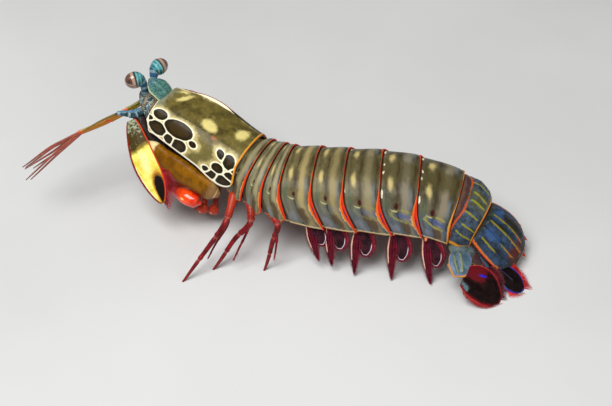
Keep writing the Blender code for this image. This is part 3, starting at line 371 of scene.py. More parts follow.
def leaf(rows: Array | list, hint: Array, count: int = 60, columns: int = 32, bulge: float = 0.0,
         rounding: float = 0.75, keels: tuple[Keel, ...] = (), rim: float = 0.3, wave: float = 0.0,
         power: float = 2.2) -> Part:
    """Build a thin plate along a smooth curve.

    Args:
        rows: Knots: place, half width at the left and at the right, thickness.
        hint: The way the upper face looks.
        count: Rows along the plate.
        columns: Points across each face.
        bulge: Crown across the plate as a share of its width.
        rounding: Share of the length where the round tip starts.
        keels: Raised lines on the upper face.
        rim: Thickness at the very edge.
        wave: Height of a soft wave along the edges.
        power: Squareness of the tip.

    Returns:
        The mesh, with marks run, across, edge and keel.
    """
    share = np.sin(np.linspace(0, math.pi / 2, count)) * 0.6 + np.linspace(0, 1, count) * 0.4
    share /= share[-1]
    full = spline(rows, share)
    path, thick = full[:, :3], full[:, 5]
    tip = np.clip((share - rounding) / (1 - rounding), 0, 1)
    close = np.maximum(1 - tip ** power, 0.0) ** (1 / power)
    left, right = (np.maximum(full[:, k], 0.1) * close for k in (3, 4))
    _, side, over = frames(path, hint)
    u = np.sin(np.linspace(-math.pi / 2, math.pi / 2, columns))
    off = np.where(u < 0, u * left[:, None], u * right[:, None])
    whole = (left + right)[:, None]
    lens = ((1 - abs(u) ** 3.2) * np.maximum(thick - rim, 0)[:, None]
            + rim * np.sqrt(np.maximum(1 - u ** 8, 0)))
    crown = bulge * (1 - u ** 2) * whole
    crown = crown + wave * np.sin(share * 21.0)[:, None] * abs(u) ** 3
    raised = np.zeros_like(off)
    near = np.full_like(off, FAR)
    for keel in keels:
        line = (keel.across + keel.drift * share[:, None]) * whole / 2
        away = abs(off - line)
        stretch = (ramp(share, keel.start - 0.03, keel.start + 0.05)
                   * ramp(share, keel.end + 0.04, keel.end - 0.05))[:, None]
        raised = np.maximum(raised, keel.height * hill(away, 0.0, keel.width) * stretch)
        near = np.minimum(near, away + (1 - stretch) * 3.0)
    flat = path[:, None] + side[:, None] * off[..., None]
    top = flat + over[:, None] * (crown + lens / 2 + raised)[..., None]
    low = flat + over[:, None] * (crown - lens / 2)[..., None]
    length = np.linalg.norm(np.diff(path, axis=0), axis=1).sum()
    edge = np.minimum(np.minimum(off + left[:, None], right[:, None] - off), (1 - share[:, None]) * length)
    both = {"run": share[:, None] + 0 * off, "across": off / np.maximum(whole / 2, TINY), "edge": edge,
            "keel": near}
    marks = {k: np.concatenate([v, v[:, ::-1]], 1) for k, v in both.items()}
    return grid(np.concatenate([top, low[:, ::-1]], 1), marks)


def bristles(roots: Array, ways: Array, lengths: Array, radius: float, places: Array,
             segments: int = 4) -> Part:
    """Grow tapered hairs, each a slim three-sided spine.

    Args:
        roots: One root a row.
        ways: The direction of each hair.
        lengths: The length of each hair.
        radius: Half width at the root.
        places: Root places on an unwrap of the parent, from 0 to 1.
        segments: Rings along each hair.

    Returns:
        The mesh, with mark run from root to tip.
    """
    share = np.linspace(0, 1, segments + 1)
    ways = unit(ways)
    side = unit(np.cross(ways, UP + 0.01))
    other = np.cross(ways, side)
    middle = roots[:, None] + ways[:, None] * (lengths[:, None] * share)[..., None]
    turn = np.arange(3) * 2 * math.pi / 3
    slim = radius * (1 - 0.86 * share)
    ring = side[:, None, None] * np.cos(turn)[:, None] + other[:, None, None] * np.sin(turn)[:, None]
    points = middle[:, :, None] + ring * slim[:, None, None]
    k, rows = len(roots), segments + 1
    index = np.arange(k * rows * 3).reshape(k, rows, 3)
    nxt = np.roll(index, -1, axis=2)
    quads = np.stack([index[:, :-1], nxt[:, :-1], nxt[:, 1:], index[:, 1:]], -1).reshape(-1, 4)
    tris = index[:, -1, :]
    run = np.broadcast_to(share[None, :, None], (k, rows, 3)).reshape(-1)
    fan = np.stack([np.cos(turn), np.sin(turn)], -1)[None, None] * 0.0006
    spread = np.stack([0 * share, share * 0.0026], -1)[None, :, None]
    spots = (places[:, None, None] * 0.98 + 0.01 + fan + spread).reshape(-1, 2)
    return Part(points.reshape(-1, 3), quads, tris, {"run": run}, spots)


def outward(part: Part) -> Part:
    """Turn a mesh's faces to look outward.

    Args:
        part: The mesh, with all its faces alike.

    Returns:
        The mesh itself, or a turned copy.
    """
    p, q, t = part.points, part.quads, part.tris
    corners = np.concatenate([q[:, [0, 1, 2]], q[:, [0, 2, 3]], t])
    a, b, c = (p[corners[:, k]] - p.mean(0) for k in range(3))
    if np.einsum("ij,ij->", a, np.cross(b, c)) >= 0:
        return part
    return Part(p, q[:, ::-1], t[:, ::-1], part.marks, part.roots)


def joined(parts: list[Part]) -> Part:
    """Put several meshes in one, with a value of 0 where one lacks a mark.

    Args:
        parts: The meshes.

    Returns:
        One mesh.
    """
    parts = [outward(p) for p in parts]
    names = sorted({k for p in parts for k in p.marks})
    starts = np.cumsum([0] + [len(p.points) for p in parts])
    marks = {n: np.concatenate([p.marks.get(n, np.zeros(len(p.points))) for p in parts]) for n in names}
    roots = None
    if all(p.roots is not None for p in parts):
        roots = np.concatenate([p.roots for p in parts])
    return Part(np.concatenate([p.points for p in parts]),
                np.concatenate([p.quads + s for p, s in zip(parts, starts)]),
                np.concatenate([p.tris + s for p, s in zip(parts, starts)]), marks, roots)


# Finishes

@dataclass(frozen=True)
class Mark:
    """A colour laid where a value on the surface goes from low to high."""

    value: str
    low: float
    high: float
    colour: Colour
    strength: float = 1.0
    ragged: float = 0.0
    scale: float = 1.4


@dataclass
class Canvas:
    """A paint's node tree, with the coordinates that its nodes read."""

    tree: bpy.types.NodeTree
    stretch: Point

    def __post_init__(self) -> None:
        """Add the object's coordinates in millimetres."""
        source = self.node("TexCoord")
        scale = self.node("Mapping", Scale=[v / MM for v in self.stretch])
        self.link(source.outputs["Object"], scale.inputs["Vector"])
        self.where = scale.outputs["Vector"]

    def link(self, source: Socket, target: Socket) -> None:
        """Join two sockets."""
        self.tree.links.new(source, target)

    def node(self, kind: str, **values: float | list[float]) -> bpy.types.Node:
        """Add a node.

        Args:
            kind: Its type, without the start that all types share.
            values: Numbers for its sockets, with _ for a space.

        Returns:
            The node.
        """
        made = self.tree.nodes.new("ShaderNode" + kind)
        for name, value in values.items():
            made.inputs[name.replace("_", " ")].default_value = value
        return made

    def noise(self, scale: float, detail: float = 4.0) -> Socket:
        """A noise over the surface.

        Args:
            scale: Its scale per millimetre.
            detail: How many finer layers it has.

        Returns:
            Its socket, from 0 to 1.
        """
        node = self.node("TexNoise", Scale=scale, Detail=detail, Roughness=0.6)
        self.link(self.where, node.inputs["Vector"])
        return node.outputs["Fac"]

    def span(self, value: Socket, low: float, high: float, to_low: float = 0.0,
             to_high: float = 1.0) -> Socket:
        """Carry a value from one span to another, with soft ends.

        Args:
            value: The value's socket.
            low: Start of the span.
            high: End of the span.
            to_low: Result at the start.
            to_high: Result at the end.

        Returns:
            The result's socket.
        """
        node = self.node("MapRange", From_Min=low, From_Max=high, To_Min=to_low, To_Max=to_high)
        node.interpolation_type = "SMOOTHSTEP"
        self.link(value, node.inputs["Value"])
        return node.outputs["Result"]

    def mixed(self, share: Socket, below: Socket | Colour, over: Colour, kind: str = "MIX") -> Socket:
        """Mix a colour over another by a share.

        Args:
            share: Socket of the share.
            below: The colour below, or its socket.
            over: The colour laid over it.
            kind: How the two are mixed.

        Returns:
            The mixed colour's socket.
        """
        node = self.node("Mix")
        node.data_type = "RGBA"
        node.blend_type = kind
        self.link(share, node.inputs["Factor"])
        if isinstance(below, tuple):
            node.inputs[6].default_value = (*below, 1.0)
        else:
            self.link(below, node.inputs[6])
        node.inputs[7].default_value = (*over, 1.0)
        return node.outputs[2]


@dataclass(frozen=True)
class Finish:
    """A shell paint: clouded base, marks over it, grain, pits and gloss."""

    name: str
    dark: Colour
    light: Colour
    marks: tuple[Mark, ...] = ()
    cloud: float = 0.3
    fleck: float = 0.25
    fleck_scale: float = 2.2
    rough: float = 0.34
    coat: float = 0.2
    shine: float = 0.14
    grain: float = 0.25
    grain_scale: float = 3.0
    pits: float = 0.0
    pit_scale: float = 2.2
    stretch: Point = (1.0, 1.0, 1.0)

    def make(self) -> bpy.types.Material:
        """Build the material's nodes, once.

        Returns:
            The material.
        """
        known = bpy.data.materials.get(self.name + "_paint")
        if known:
            return known
        material = bpy.data.materials.new(self.name + "_paint")
        material.use_nodes = True
        canvas = Canvas(material.node_tree, self.stretch)
        shader = canvas.tree.nodes["Principled BSDF"]
        colour = self.base(canvas)
        for mark in self.marks:
            colour = self.lay(canvas, colour, mark)
        canvas.link(colour, shader.inputs["Base Color"])
        self.gloss(canvas, shader)
        self.relief(canvas, shader)
        return material

    def base(self, canvas: Canvas) -> Socket:
        """Two clouded tones with finer flecks over them.

        Args:
            canvas: The paint's nodes.

        Returns:
            The colour's socket.
        """
        cloud = canvas.span(canvas.noise(self.cloud), 0.36, 0.66)
        colour = canvas.mixed(cloud, self.dark, self.light)
        fine = canvas.span(canvas.noise(self.fleck_scale, 6.0), 0.42, 0.72, 0.0, self.fleck)
        return canvas.mixed(fine, colour, (0.28, 0.24, 0.2), "MULTIPLY")

    def lay(self, canvas: Canvas, colour: Socket, mark: Mark) -> Socket:
        """Lay one mark over a colour.

        Args:
            canvas: The paint's nodes.
            colour: Socket of the colour below.
            mark: The mark.

        Returns:
            The new colour's socket.
        """
        source = canvas.node("Attribute")
        source.attribute_name = mark.value
        value = source.outputs["Fac"]
        if mark.ragged:
            shift = canvas.node("Math")
            shift.operation = "ADD"
            noise = canvas.noise(mark.scale, 5.0)
            canvas.link(canvas.span(noise, 0.25, 0.75, -mark.ragged, mark.ragged), shift.inputs[0])
            canvas.link(value, shift.inputs[1])
            value = shift.outputs[0]
        share = canvas.span(value, mark.low, mark.high, 0.0, mark.strength)
        return canvas.mixed(share, colour, mark.colour)

    def gloss(self, canvas: Canvas, shader: bpy.types.Node) -> None:
        """Roughness with wet and dull patches, under a clear coat.

        Args:
            canvas: The paint's nodes.
            shader: The surface's shader.
        """
        rough = canvas.span(canvas.noise(self.cloud * 3.0), 0.3, 0.7, self.rough - 0.07, self.rough + 0.1)
        canvas.link(rough, shader.inputs["Roughness"])
        shader.inputs["Coat Weight"].default_value = self.coat
        shader.inputs["Coat Roughness"].default_value = 0.07
        shader.inputs["IOR"].default_value = 1.5
        shader.inputs["Specular IOR Level"].default_value = self.shine

    def relief(self, canvas: Canvas, shader: bpy.types.Node) -> None:
        """Fine grain, and small pits where the finish has them.

        Args:
            canvas: The paint's nodes.
            shader: The surface's shader.
        """
        bump = canvas.node("Bump", Strength=self.grain, Distance=0.00012)
        canvas.link(canvas.noise(self.grain_scale, 5.0), bump.inputs["Height"])
        normal = bump.outputs["Normal"]
        if self.pits:
            cells = canvas.node("TexVoronoi", Scale=self.pit_scale)
            canvas.link(canvas.where, cells.inputs["Vector"])
            holes = canvas.node("Bump", Strength=self.pits, Distance=0.00015)
            canvas.link(canvas.span(cells.outputs["Distance"], 0.05, 0.32), holes.inputs["Height"])
            canvas.link(normal, holes.inputs["Normal"])
            normal = holes.outputs["Normal"]
        canvas.link(normal, shader.inputs["Normal"])


def piece(name: str, parts: list[Part], finish: Finish, slot: str, extra: bool = False) -> None:
    """Turn meshes into one shown piece that rides on the model.

    Args:
        name: The piece's name.
        parts: Its meshes.
        finish: Its paint.
        slot: The record's material slot; not used.
        extra: Whether it is added to the frame's nodes; otherwise it stands for the node of its name.
    """
    whole = joined(parts)
    whole.points[:, 2] = np.maximum(whole.points[:, 2], CLEARANCE)
    mesh = bpy.data.meshes.new(name)
    faces = whole.quads.tolist() + whole.tris.tolist()
    mesh.from_pydata(((whole.points + SHIFT) * MM).tolist(), [], faces)
    for key, values in whole.marks.items():
        mesh.attributes.new(key, "FLOAT", "POINT").data.foreach_set("value", values.astype(np.float32))
    if whole.roots is not None:
        chart = mesh.uv_layers.new(name="OFBake")
        loops = np.zeros(len(mesh.loops), np.int32)
        mesh.loops.foreach_get("vertex_index", loops)
        chart.data.foreach_set("uv", whole.roots[loops].astype(np.float32).ravel())
    mesh.polygons.foreach_set("use_smooth", np.ones(len(mesh.polygons), bool))
    mesh.materials.append(finish.make())
    mesh.validate()
    mesh.update()
    obj = bpy.data.objects.new(name, mesh)
    bpy.context.scene.collection.objects.link(obj)
    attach(obj, "root")
    if not extra:
        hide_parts(name)
    log.info("%s: %d faces", name, len(faces))


# Shell

@dataclass(frozen=True)
class Spot:
    """An oval mark on the shell: place, half axes and turn, in millimetres."""

    s: float
    q: float
    long: float
    short: float
    turn: float = 0.0

    def away(self, s: Array, q: Array) -> Array:
        """Distance outside the oval's edge.

        Args:
            s: Distances along the body.
            q: Distances from the middle of the back.

        Returns:
            The distance, negative inside.
        """
        c, v = math.cos(math.radians(self.turn)), math.sin(math.radians(self.turn))
        x, y = (s - self.s) * c + (q - self.q) * v, (q - self.q) * c - (s - self.s) * v
        reach = np.sqrt((x / self.long) ** 2 + (y / self.short) ** 2)
        return ((reach - 1.0) * min(self.long, self.short) * 0.6
                + (reach - 1.0) * max(self.long, self.short) * 0.4)


GIRTH = 14.5
MARGIN = 22.78


def girth(a: Array) -> Array:
    """Millimetres from the middle of the back, left positive."""
    return (math.pi / 2 - a) * GIRTH


@dataclass(frozen=True)
class Carapace:
    """The shell over the fore body, with ringed dark spots near its corners."""

    front: float = -36.0
    rear: float = -0.1
    thick: float = 0.8
    corner: float = 4.8
    swell: Knots = (
        (-36.0, 0.5), (-32.0, 1.7), (-28.5, 2.3), (-25.0, 2.7), (-19.4, 2.9), (-12.5, 2.1), (-6.0, 0.9),
        (0.0, 0.1))
    rows: int = 190
    columns: int = 210
    spots: tuple[Spot, ...] = (
        Spot(-32.2, 10.7, 2.7, 2.4, -40), Spot(-23.8, 12.2, 5.5, 3.8, -8), Spot(-31.1, 17.4, 3.5, 3.0, -10),
        Spot(-25.6, 18.7, 1.9, 1.9), Spot(-21.3, 18.6, 3.0, 2.5, -40), Spot(-16.9, 14.3, 1.35, 1.2),
        Spot(-35.1, 15.0, 1.2, 1.1), Spot(-6.7, 11.0, 1.9, 1.3, 50), Spot(-3.1, 11.9, 2.8, 2.1, 78),
        Spot(-6.0, 16.6, 1.9, 1.7, -40), Spot(-7.2, 20.6, 2.0, 1.5, -38), Spot(-3.2, 19.9, 2.6, 1.8, -38),
        Spot(-1.6, 16.9, 1.9, 1.4, -38), Spot(-0.7, 14.4, 0.8, 0.7), Spot(-9.3, 19.9, 1.3, 1.1))
    pale: tuple[Spot, ...] = (
        Spot(-15.7, 3.0, 3.3, 2.4, 25), Spot(-4.9, -0.9, 2.0, 2.8, 10), Spot(-29.6, -2.6, 1.0, 3.4, 25),
        Spot(-31.6, -5.6, 1.6, 1.0, -20))
    paint: Finish = Finish(
        "carapace_shell", (0.068, 0.051, 0.010), (0.155, 0.118, 0.024), cloud=0.2, fleck=0.35,
        fleck_scale=1.4, rough=0.42, coat=0.1, grain=0.16, grain_scale=2.0, pits=0.05, pit_scale=3.0,
        # sage: a lighter sage tone on the sides and toward the rear; it is thinned on the far side as
        # painted shade
        marks=(Mark("sage", 0.0, 1.0, (0.18, 0.145, 0.045), 0.75, 0.2, 0.5),
               Mark("front", 0.1, 1.0, (0.27, 0.27, 0.17), 0.7, 0.3, 0.6),
               Mark("stain", 0.15, 0.9, (0.42, 0.13, 0.03), 0.6, 0.1),
               Mark("pale", 0.0, 1.0, (0.74, 0.62, 0.22), 0.95, 0.22, 0.7),
               Mark("shade", 0.3, 1.0, (0.05, 0.035, 0.010), 0.85, 0.15),
               Mark("spot", 2.7, 0.5, (0.66, 0.54, 0.22), 0.85, 0.6, 0.7),
               Mark("spot", 0.9, 0.5, (0.94, 0.87, 0.62), 1.0, 0.12, 1.2),
               Mark("spot", 0.28, 0.05, (0.016, 0.010, 0.002), 1.0, 0.06, 2.0),
               Mark("spot", -0.5, -1.8, (0.046, 0.026, 0.005), 0.9, 0.35, 0.9),
               Mark("crest", 0.25, 0.75, (0.95, 0.88, 0.62), 1.0, 0.1),
               Mark("outer", 0.3, 0.8, (0.30, 0.018, 0.006), 1.0, 0.12),
               # painted shade: a dark brown band along the rear of the carapace's far edge
               Mark("brink", 0.2, 0.8, (0.028, 0.018, 0.006), 0.95, 0.12),
               Mark("hem", 0.85, 0.6, (0.93, 0.86, 0.68)),
               Mark("back", 0.78, 0.45, (0.66, 0.33, 0.03), 1.0, 0.12),
               Mark("back", 0.32, 0.1, (0.80, 0.20, 0.02), 1.0, 0.1),
               Mark("inner", 0.4, 0.6, (0.34, 0.14, 0.05))))

    def trim(self, s: Array) -> Array:
        """How far the lower margin is cut back.

        Args:
            s: Distances along the body.

        Returns:
            The angle that is cut from each side.
        """
        front = 0.375 * ramp(1 - (s - self.front) / 3.0, 0, 1) ** 1.5
        waist = 0.09 * ramp(s, -36.0, -31.0) * ramp(s, -6.0, -14.0)
        curve = np.clip((s + self.corner) / self.corner, 0, 0.995)
        return front + waist + self.corner * 1.1 / GIRTH * (1 - np.sqrt(1 - curve ** 2))

    def mesh(self) -> Part:
        """The outer and the inner face, in one sheet.

        Returns:
            The mesh, open at the front and the rear.
        """
        t = np.linspace(0, 1, self.rows)
        pace = 0.5 - 0.5 * np.cos(math.pi * t) * 0.55 - 0.5 * (1 - 2 * t) * 0.45
        s = blend(self.front, self.rear, pace)[:, None]
        start = self.trim(s)
        a = start + (math.pi - 2 * start) * np.linspace(0, 1, self.columns)[None]
        q = girth(a)
        keel = 0.10 * hill(abs(q), 6.5, 0.7) * ramp(s, -35, -31) * ramp(s, -1, -8)
        dent = -0.35 * hill(s + 26.5 + 0.02 * q ** 2, 0.0, 1.2) * ramp(abs(q), 3.0, 9.0) * 0.45
        bead = 0.16 * (hill(s - self.rear, -0.35, 0.35) + hill(abs(q) - 22.4 + start * GIRTH, 0.0, 0.5))
        knots = np.array(self.swell)
        bulge = curve_through(knots, s) * np.where(q > -9.5, hill(q, -9.5, 4.4), hill(q, -9.5, 6.0))
        long = ramp(s, -33.0, -22.0) * ramp(s, -10.0, -17.0)
        fold = -7.6 - 0.25 * long
        ridge = 0.7 * long * np.where(q > fold, hill(q, fold, 0.8), hill(q, fold, 1.8))
        sweep = 1.6 * ramp(abs(q), 11.0, 20.0) * ramp(s, -13.0, 0.0) ** 2
        y, z, x = LINE.arch(s, a, keel + dent + bead + bulge + ridge - 0.05)
        outer = LINE.place(s + 0 * a, y, z, x + sweep)
        y, z, x = LINE.arch(s, a, -self.thick)
        inner = LINE.place(s + 0 * a, y, z, x + sweep)
        margin = abs(girth(start)) - abs(q)
        near = np.sort([m.away(s + 0 * q, abs(q)) for m in self.spots], axis=0)
        spot = np.maximum(near[0], 0.42 - (near[1] - near[0]) / 2)
        pale = sum(np.exp(-np.maximum(m.away(s + 0 * q, q) + 1.3, 0) ** 2 / 2.2) for m in self.pale)
        marks = {
            "spot": spot, "pale": pale,
            "hem": np.minimum(margin, s - self.front + 0.55 * ramp(abs(q), 17, 13)),
            "back": (self.rear - s) + 0 * q, "inner": np.zeros_like(q),
            "crest": np.exp(-((q - fold - 0.2) / (0.06 + 0.5 * long ** 2)) ** 4) * ramp(long, 0.1, 0.3),
            "outer": ramp(q, fold + 0.1, fold - 0.3) * ramp(q, fold - 2.6, fold - 1.4)
            * ramp(s, -33.5, -30.0) * ramp(s, -12.0, -15.0),
            # painted shade along the rear part of the far edge, just outside the fold
            "brink": ramp(q, fold + 0.4, fold - 0.4) * ramp(q, fold - 3.6, fold - 2.0)
            * ramp(s, -15.0, -12.5),
            "front": ramp(s, -31.0, -36.0) * ramp(abs(q), 16, 11),
            "stain": np.exp(-((s + 11.7) ** 2 + (q - 6.7) ** 2) / 1.6),
            "shade": np.exp(-((s + 31.2) ** 2 / 2.2 + (q + 5.0) ** 2 / 0.5))
            + 0.5 * hill(abs(q), 9.0, 1.6) * hill(s, -9.0, 2.2),
            # sage: lighter on the sides and rear, and less of it on the far side (q negative) as painted
            # shade
            "sage": np.clip(
                ramp(abs(q), 6, 14) * 0.9 + 0.5 * ramp(s, -9, -2) - 0.35 * ramp(q, 2, -7), 0, 1)}
        marks["hem"] = np.where((margin > marks["back"]) & (s > -1.5), 3.0, marks["hem"])
        both = np.concatenate([outer, inner[:, ::-1]], 1)
        values = {k: np.concatenate([v, np.full_like(v, FAR if k in ("hem", "back", "spot") else 0.0)], 1)
                  for k, v in marks.items()}
        values["inner"][:, self.columns:] = 1.0
        return grid(both, values, caps=False)

    def close(self, part: Part) -> Part:
        """Join the front and rear ends of the outer and inner faces.

        Args:
            part: The open sheet.

        Returns:
            The same mesh, closed.
        """
        n = self.columns * 2
        rims = []
        for base, turn in ((0, 1), ((self.rows - 1) * n, -1)):
            i = np.arange(self.columns - 1)
            strip = np.stack([base + i, base + n - 1 - i, base + n - 2 - i, base + i + 1], -1)
            rims.append(strip[:, ::turn])
        part.quads = np.concatenate([part.quads, *rims])
        return part

    def dress(self) -> None:
        """Make the carapace."""
        piece("carapace", [self.close(self.mesh())], self.paint, "carapace_shell")


RIM_RED: tuple[Mark, ...] = (
    # painted highlight in orange cream along the front edge of the rim's lower flare
    Mark("pearl", 1.3, 1.0, (0.80, 0.44, 0.14), 0.85, 0.25),
    Mark("flare", 1.05, 0.85, (0.72, 0.13, 0.012), 1.0, 0.1),
    Mark("flare", 0.66, 0.5, (0.62, 0.024, 0.007), 1.0, 0.08),
    Mark("core", 0.35, 0.6, (0.05, 0.015, 0.09), 0.9, 0.12),
    Mark("flare", 0.2, 0.08, (0.80, 0.045, 0.010), 1.0, 0.06))

RIM_AMBER: tuple[Mark, ...] = (
    Mark("flare", 1.15, 0.95, (0.62, 0.34, 0.05), 0.9, 0.15),
    Mark("flare", 0.7, 0.45, (0.66, 0.15, 0.012), 1.0, 0.1))

HEM_RED: tuple[Mark, ...] = (
    Mark("hem", 0.62, 0.35, (0.55, 0.28, 0.12), 0.9, 0.2),
    Mark("hem", 0.4, 0.15, (0.52, 0.05, 0.012), 1.0, 0.1))

HEM_GOLD: tuple[Mark, ...] = (
    Mark("hem", 0.75, 0.45, (0.62, 0.50, 0.28), 0.95, 0.2),
    Mark("hem", 0.3, 0.1, (0.36, 0.12, 0.03), 0.9, 0.1))


@dataclass(frozen=True)
class Ring:
    """One ring of the thorax or abdomen: shell over the back, soft belly under it."""

    name: str
    start: float
    end: float
    paint: Finish
    slot: str = "abdomen_shell"
    tuck: float = 1.3
    step_in: float = 0.5
    hold: float = 0.0
    lobe: float = 0.0
    drop: float = 0.0
    depth: float = 2.0
    sink: float = 2.6
    rows: int = 72
    columns: int = 200
    under: int = 60
    flare: float = 0.0
    rim: float = 0.42
    hang: float = 0.0
    snow: float = 0.0
    bold: float = 0.0
    keels: Knots = ()

    def profile(self) -> tuple[Array, Array]:
        """The shape along the ring, from the tucked front to the rolled rear rim.

        Returns:
            Distance of each loop and its set-back from the full outline.
        """
        t = np.linspace(0, 1, self.rows)
        s = blend(self.start - self.tuck, self.end, t)
        f = np.clip((s - self.start) / (self.end - self.start), 0, 1)
        rise = ramp(np.maximum(0, f - self.hold) / (1 - self.hold) * 1.25, 0, 1)
        back = self.step_in * (1 - rise) + 0.42 * ramp(s, self.start + 0.25, self.start - 0.15)
        back = back - 0.14 * hill(s - self.end, -0.28, 0.26) + 0.09 * hill(s - self.end, -0.95, 0.35)
        s = np.concatenate([s, [self.end + 0.03, self.end - 0.05, self.end - 0.9]])
        back = np.concatenate([back, [0.18, 0.42, 0.62]])
        return s, back

    def mesh(self) -> Part:
        """Closed loops of back and belly.

        Returns:
            The mesh, with the marks of the pattern.
        """
        s, back = self.profile()
        s, back = s[:, None], back[:, None]
        f = (s - self.start) / (self.end - self.start)
        a = np.linspace(0, math.pi, self.columns)[None]
        q = girth(a)
        raised = np.zeros_like(s * q)
        near = np.full_like(raised, FAR)
        for level, tilt, begin, stop in self.keels:
            for sign in (1, -1):
                away = abs(q - sign * (level + tilt * f))
                reach = ramp(f, begin - 0.05, begin + 0.06) * ramp(f, stop + 0.05, stop - 0.06)
                raised = np.maximum(raised, 0.34 * hill(away, 0.0, 0.55) * reach)
                near = np.minimum(near, away + 3.0 * (1 - reach))
        w, h = LINE.at(s, 4) - back, LINE.at(s, 5) - back
        y, z, x = LINE.arch(s, a, raised - back)
        x, z = self.side_lobe(f, y, z, x, w, h)
        outer = LINE.place(s + 0 * a, y, z, x)
        u = np.linspace(1, -1, self.under)[None]
        yb = -w * u * (1 - 0.01)
        low = np.where(
            abs(u) > 0.86, 0.1 * ramp(abs(u), 1.0, 0.86) - 0.05,
            blend(self.depth, self.sink, ramp(abs(u), 0.15, 0.75)) * ramp(abs(u), 0.88, 0.72))
        rib = 0.22 * np.sin(math.pi * np.clip(f, 0, 1)) * ramp(abs(u), 0.5, 0.2)
        zb = low - rib
        xb = LINE.at(s, 6) * (abs(yb) / w) ** 4
        xb, zb = self.side_lobe(f, yb, zb, xb, w, h)
        belly = LINE.place(s + 0 * u, yb, zb, xb)
        marks = self.pattern(s, f, q + 0 * s, near)
        marks["belly"] = np.zeros_like(marks["aft"])
        values = {}
        distant = ("aft", "hem", "flare", "pearl", "keel", "lime", "vee", "between")
        fills = {"belly": 1.0, **dict.fromkeys(distant, FAR)}
        for key, value in marks.items():
            values[key] = np.concatenate([value + 0 * q, np.full(belly.shape[:2], fills.get(key, 0.0))], 1)
        return grid(np.concatenate([outer, belly], 1), values)

    def side_lobe(self, f: Array, y: Array, z: Array, x: Array, w: Array, h: Array) -> tuple[Array, Array]:
        """Narrow the side ends of a thorax ring, and lower those of any ring.

        Args:
            f: Share of the ring's length.
            y: Left offsets.
            z: Heights.
            x: Sweep.
            w: Half width.
            h: Height.

        Returns:
            The new sweep and heights.
        """
        if not self.lobe:
            return x, z - self.hang * ramp(z / h, 0.5, 0.0) * ramp(abs(y) / w, 0.6, 1.0)
        f = np.clip(f, 0, 1)
        pinch = self.lobe * (1 - f) - self.lobe * 0.35 * f
        side = abs(y) / w
        x = x + pinch * ramp(side, 0.72, 1.0) * ramp(z / h, 0.55, 0.0)
        round_end = 1.0 - (2.0 * f - 0.9) ** 2
        return x, z - self.drop * 1.25 * round_end * ramp(z / h, 0.5, 0.0) * ramp(side, 0.6, 1.0)

    def pattern(self, s: Array, f: Array, q: Array, near: Array) -> dict[str, Array]:
        """Rims, bands, ovals and streaks, with painted shade at each ring's front and over the rims' tops,
        and a painted highlight along the rims' lower fronts.

        Args:
            s: Distances along the body.
            f: Share of the ring's length.
            q: Distances from the middle of the back.
            near: Distance from the nearest keel.

        Returns:
            The values that the paint reads.
        """
        side = abs(q)
        aft = abs(self.end - s) + 0 * q
        curve = f + 0.02 * np.sin(side * 0.5)
        band = (0.35 * hill(curve, 0.06, 0.07) + hill(curve, 0.66, 0.13) + 0.35 * hill(curve, 0.27, 0.08))
        dark = hill(curve, 0.44, 0.055) + 0.95 * hill(curve, 0.9, 0.07)
        dark = dark * (0.75 + 0.25 * np.cos(side * 0.8)) + 0.5 * hill(curve, 0.13, 0.05)
        pale = hill(curve, 0.26, 0.085) * hill(side, 5.0, 2.6)
        fleck = hill(curve, 0.42, 0.055 + 0.012 * self.bold) * hill(side, 12.3, 0.9 + 0.7 * self.bold)
        arc = (hill(curve, 0.36, 0.15) * hill(side - 14.1 + 30 * (curve - 0.38) ** 2, 0.0, 0.32)
               * ramp(curve, 0.6, 0.4))
        blue = hill(curve, 0.62, 0.24) * hill(side - 15.4 - 1.2 * (curve - 0.5), 0.0, 1.25)
        ring = np.sqrt(((curve - 0.64) / 0.40) ** 2 + ((side - 15.4 - 1.2 * (curve - 0.5)) / 2.1) ** 2)
        lime = abs(ring - 1) * 2.0 + 3 * ramp(curve, 0.82, 0.95)
        cream = hill(s - self.start, 0.35, 0.5) * hill(side, 8.6, 1.9) * self.snow
        cream = (cream + 0.75 * hill(s - self.start, 0.45, 0.5) * hill(side, 1.2, 1.0)
                 * ramp(self.snow, 0.5, 1.0))
        spread = ramp(side, 7.5, 16.4) * ramp(side, 23.4, 17.4)
        wide = self.rim * blend(0.5, 1.0, ramp(side, 5.0, 13.0)) + 1.3 * self.flare * spread
        flare = aft / wide
        core = hill(aft - 0.42 * wide, 0.0, 0.22) * hill(side, 17.0, 2.6) * (self.flare > 0.5)
        blot = hill(curve, 0.57, 0.17) * hill(side, 19.6, 3.2)
        lilac = hill(curve, 0.2, 0.15) * hill(side, 20.4, 2.0)
        # crown: painted shade, darkening the rim over the top of the back
        crown = ramp(side, 6.0, 0.5) * ramp(flare, 1.1, 0.9)
        mint = hill(curve, 0.14, 0.10) * hill(side, 12.0, 4.5)
        steel = hill(curve, 0.8, 0.09) * hill(side, 9.5, 4.5)
        return {"lilac": lilac, "crown": crown, "mint": mint, "steel": steel, "aft": aft,
                "hem": np.maximum(MARGIN - side, 0), "band": np.clip(band, 0, 1),
                "darkband": np.clip(dark, 0, 1),
                "pale": pale, "fleckred": fleck, "arc": arc, "blue": blue, "lime": lime, "cream": cream,
                "flare": flare, "core": core,
                # painted highlight just in front of the rim, on the lower sides only
                "pearl": flare + 2.0 * (1 - ramp(side, 11.0, 15.5) * (self.flare > 0)),
                "low": ramp(side, 11.0, 17.0), "blot": blot, "keel": near, "top": ramp(side, 7.0, 1.0),
                # fore: distance from the ring's front, read by the painted shadow under the rim of the ring
                # ahead
                "fore": s - self.start + 0 * q, "between": s - self.start - 2.5 * ramp(side, 18.0, 5.0),
                "vee": abs(s - self.start - 2.5 * ramp(side, 18.0, 5.0)) + 0.28 * ramp(side, 6.0, 1.0)}

    def dress(self) -> None:
        """Make the ring."""
        piece(self.name, [self.mesh()], self.paint, self.slot)


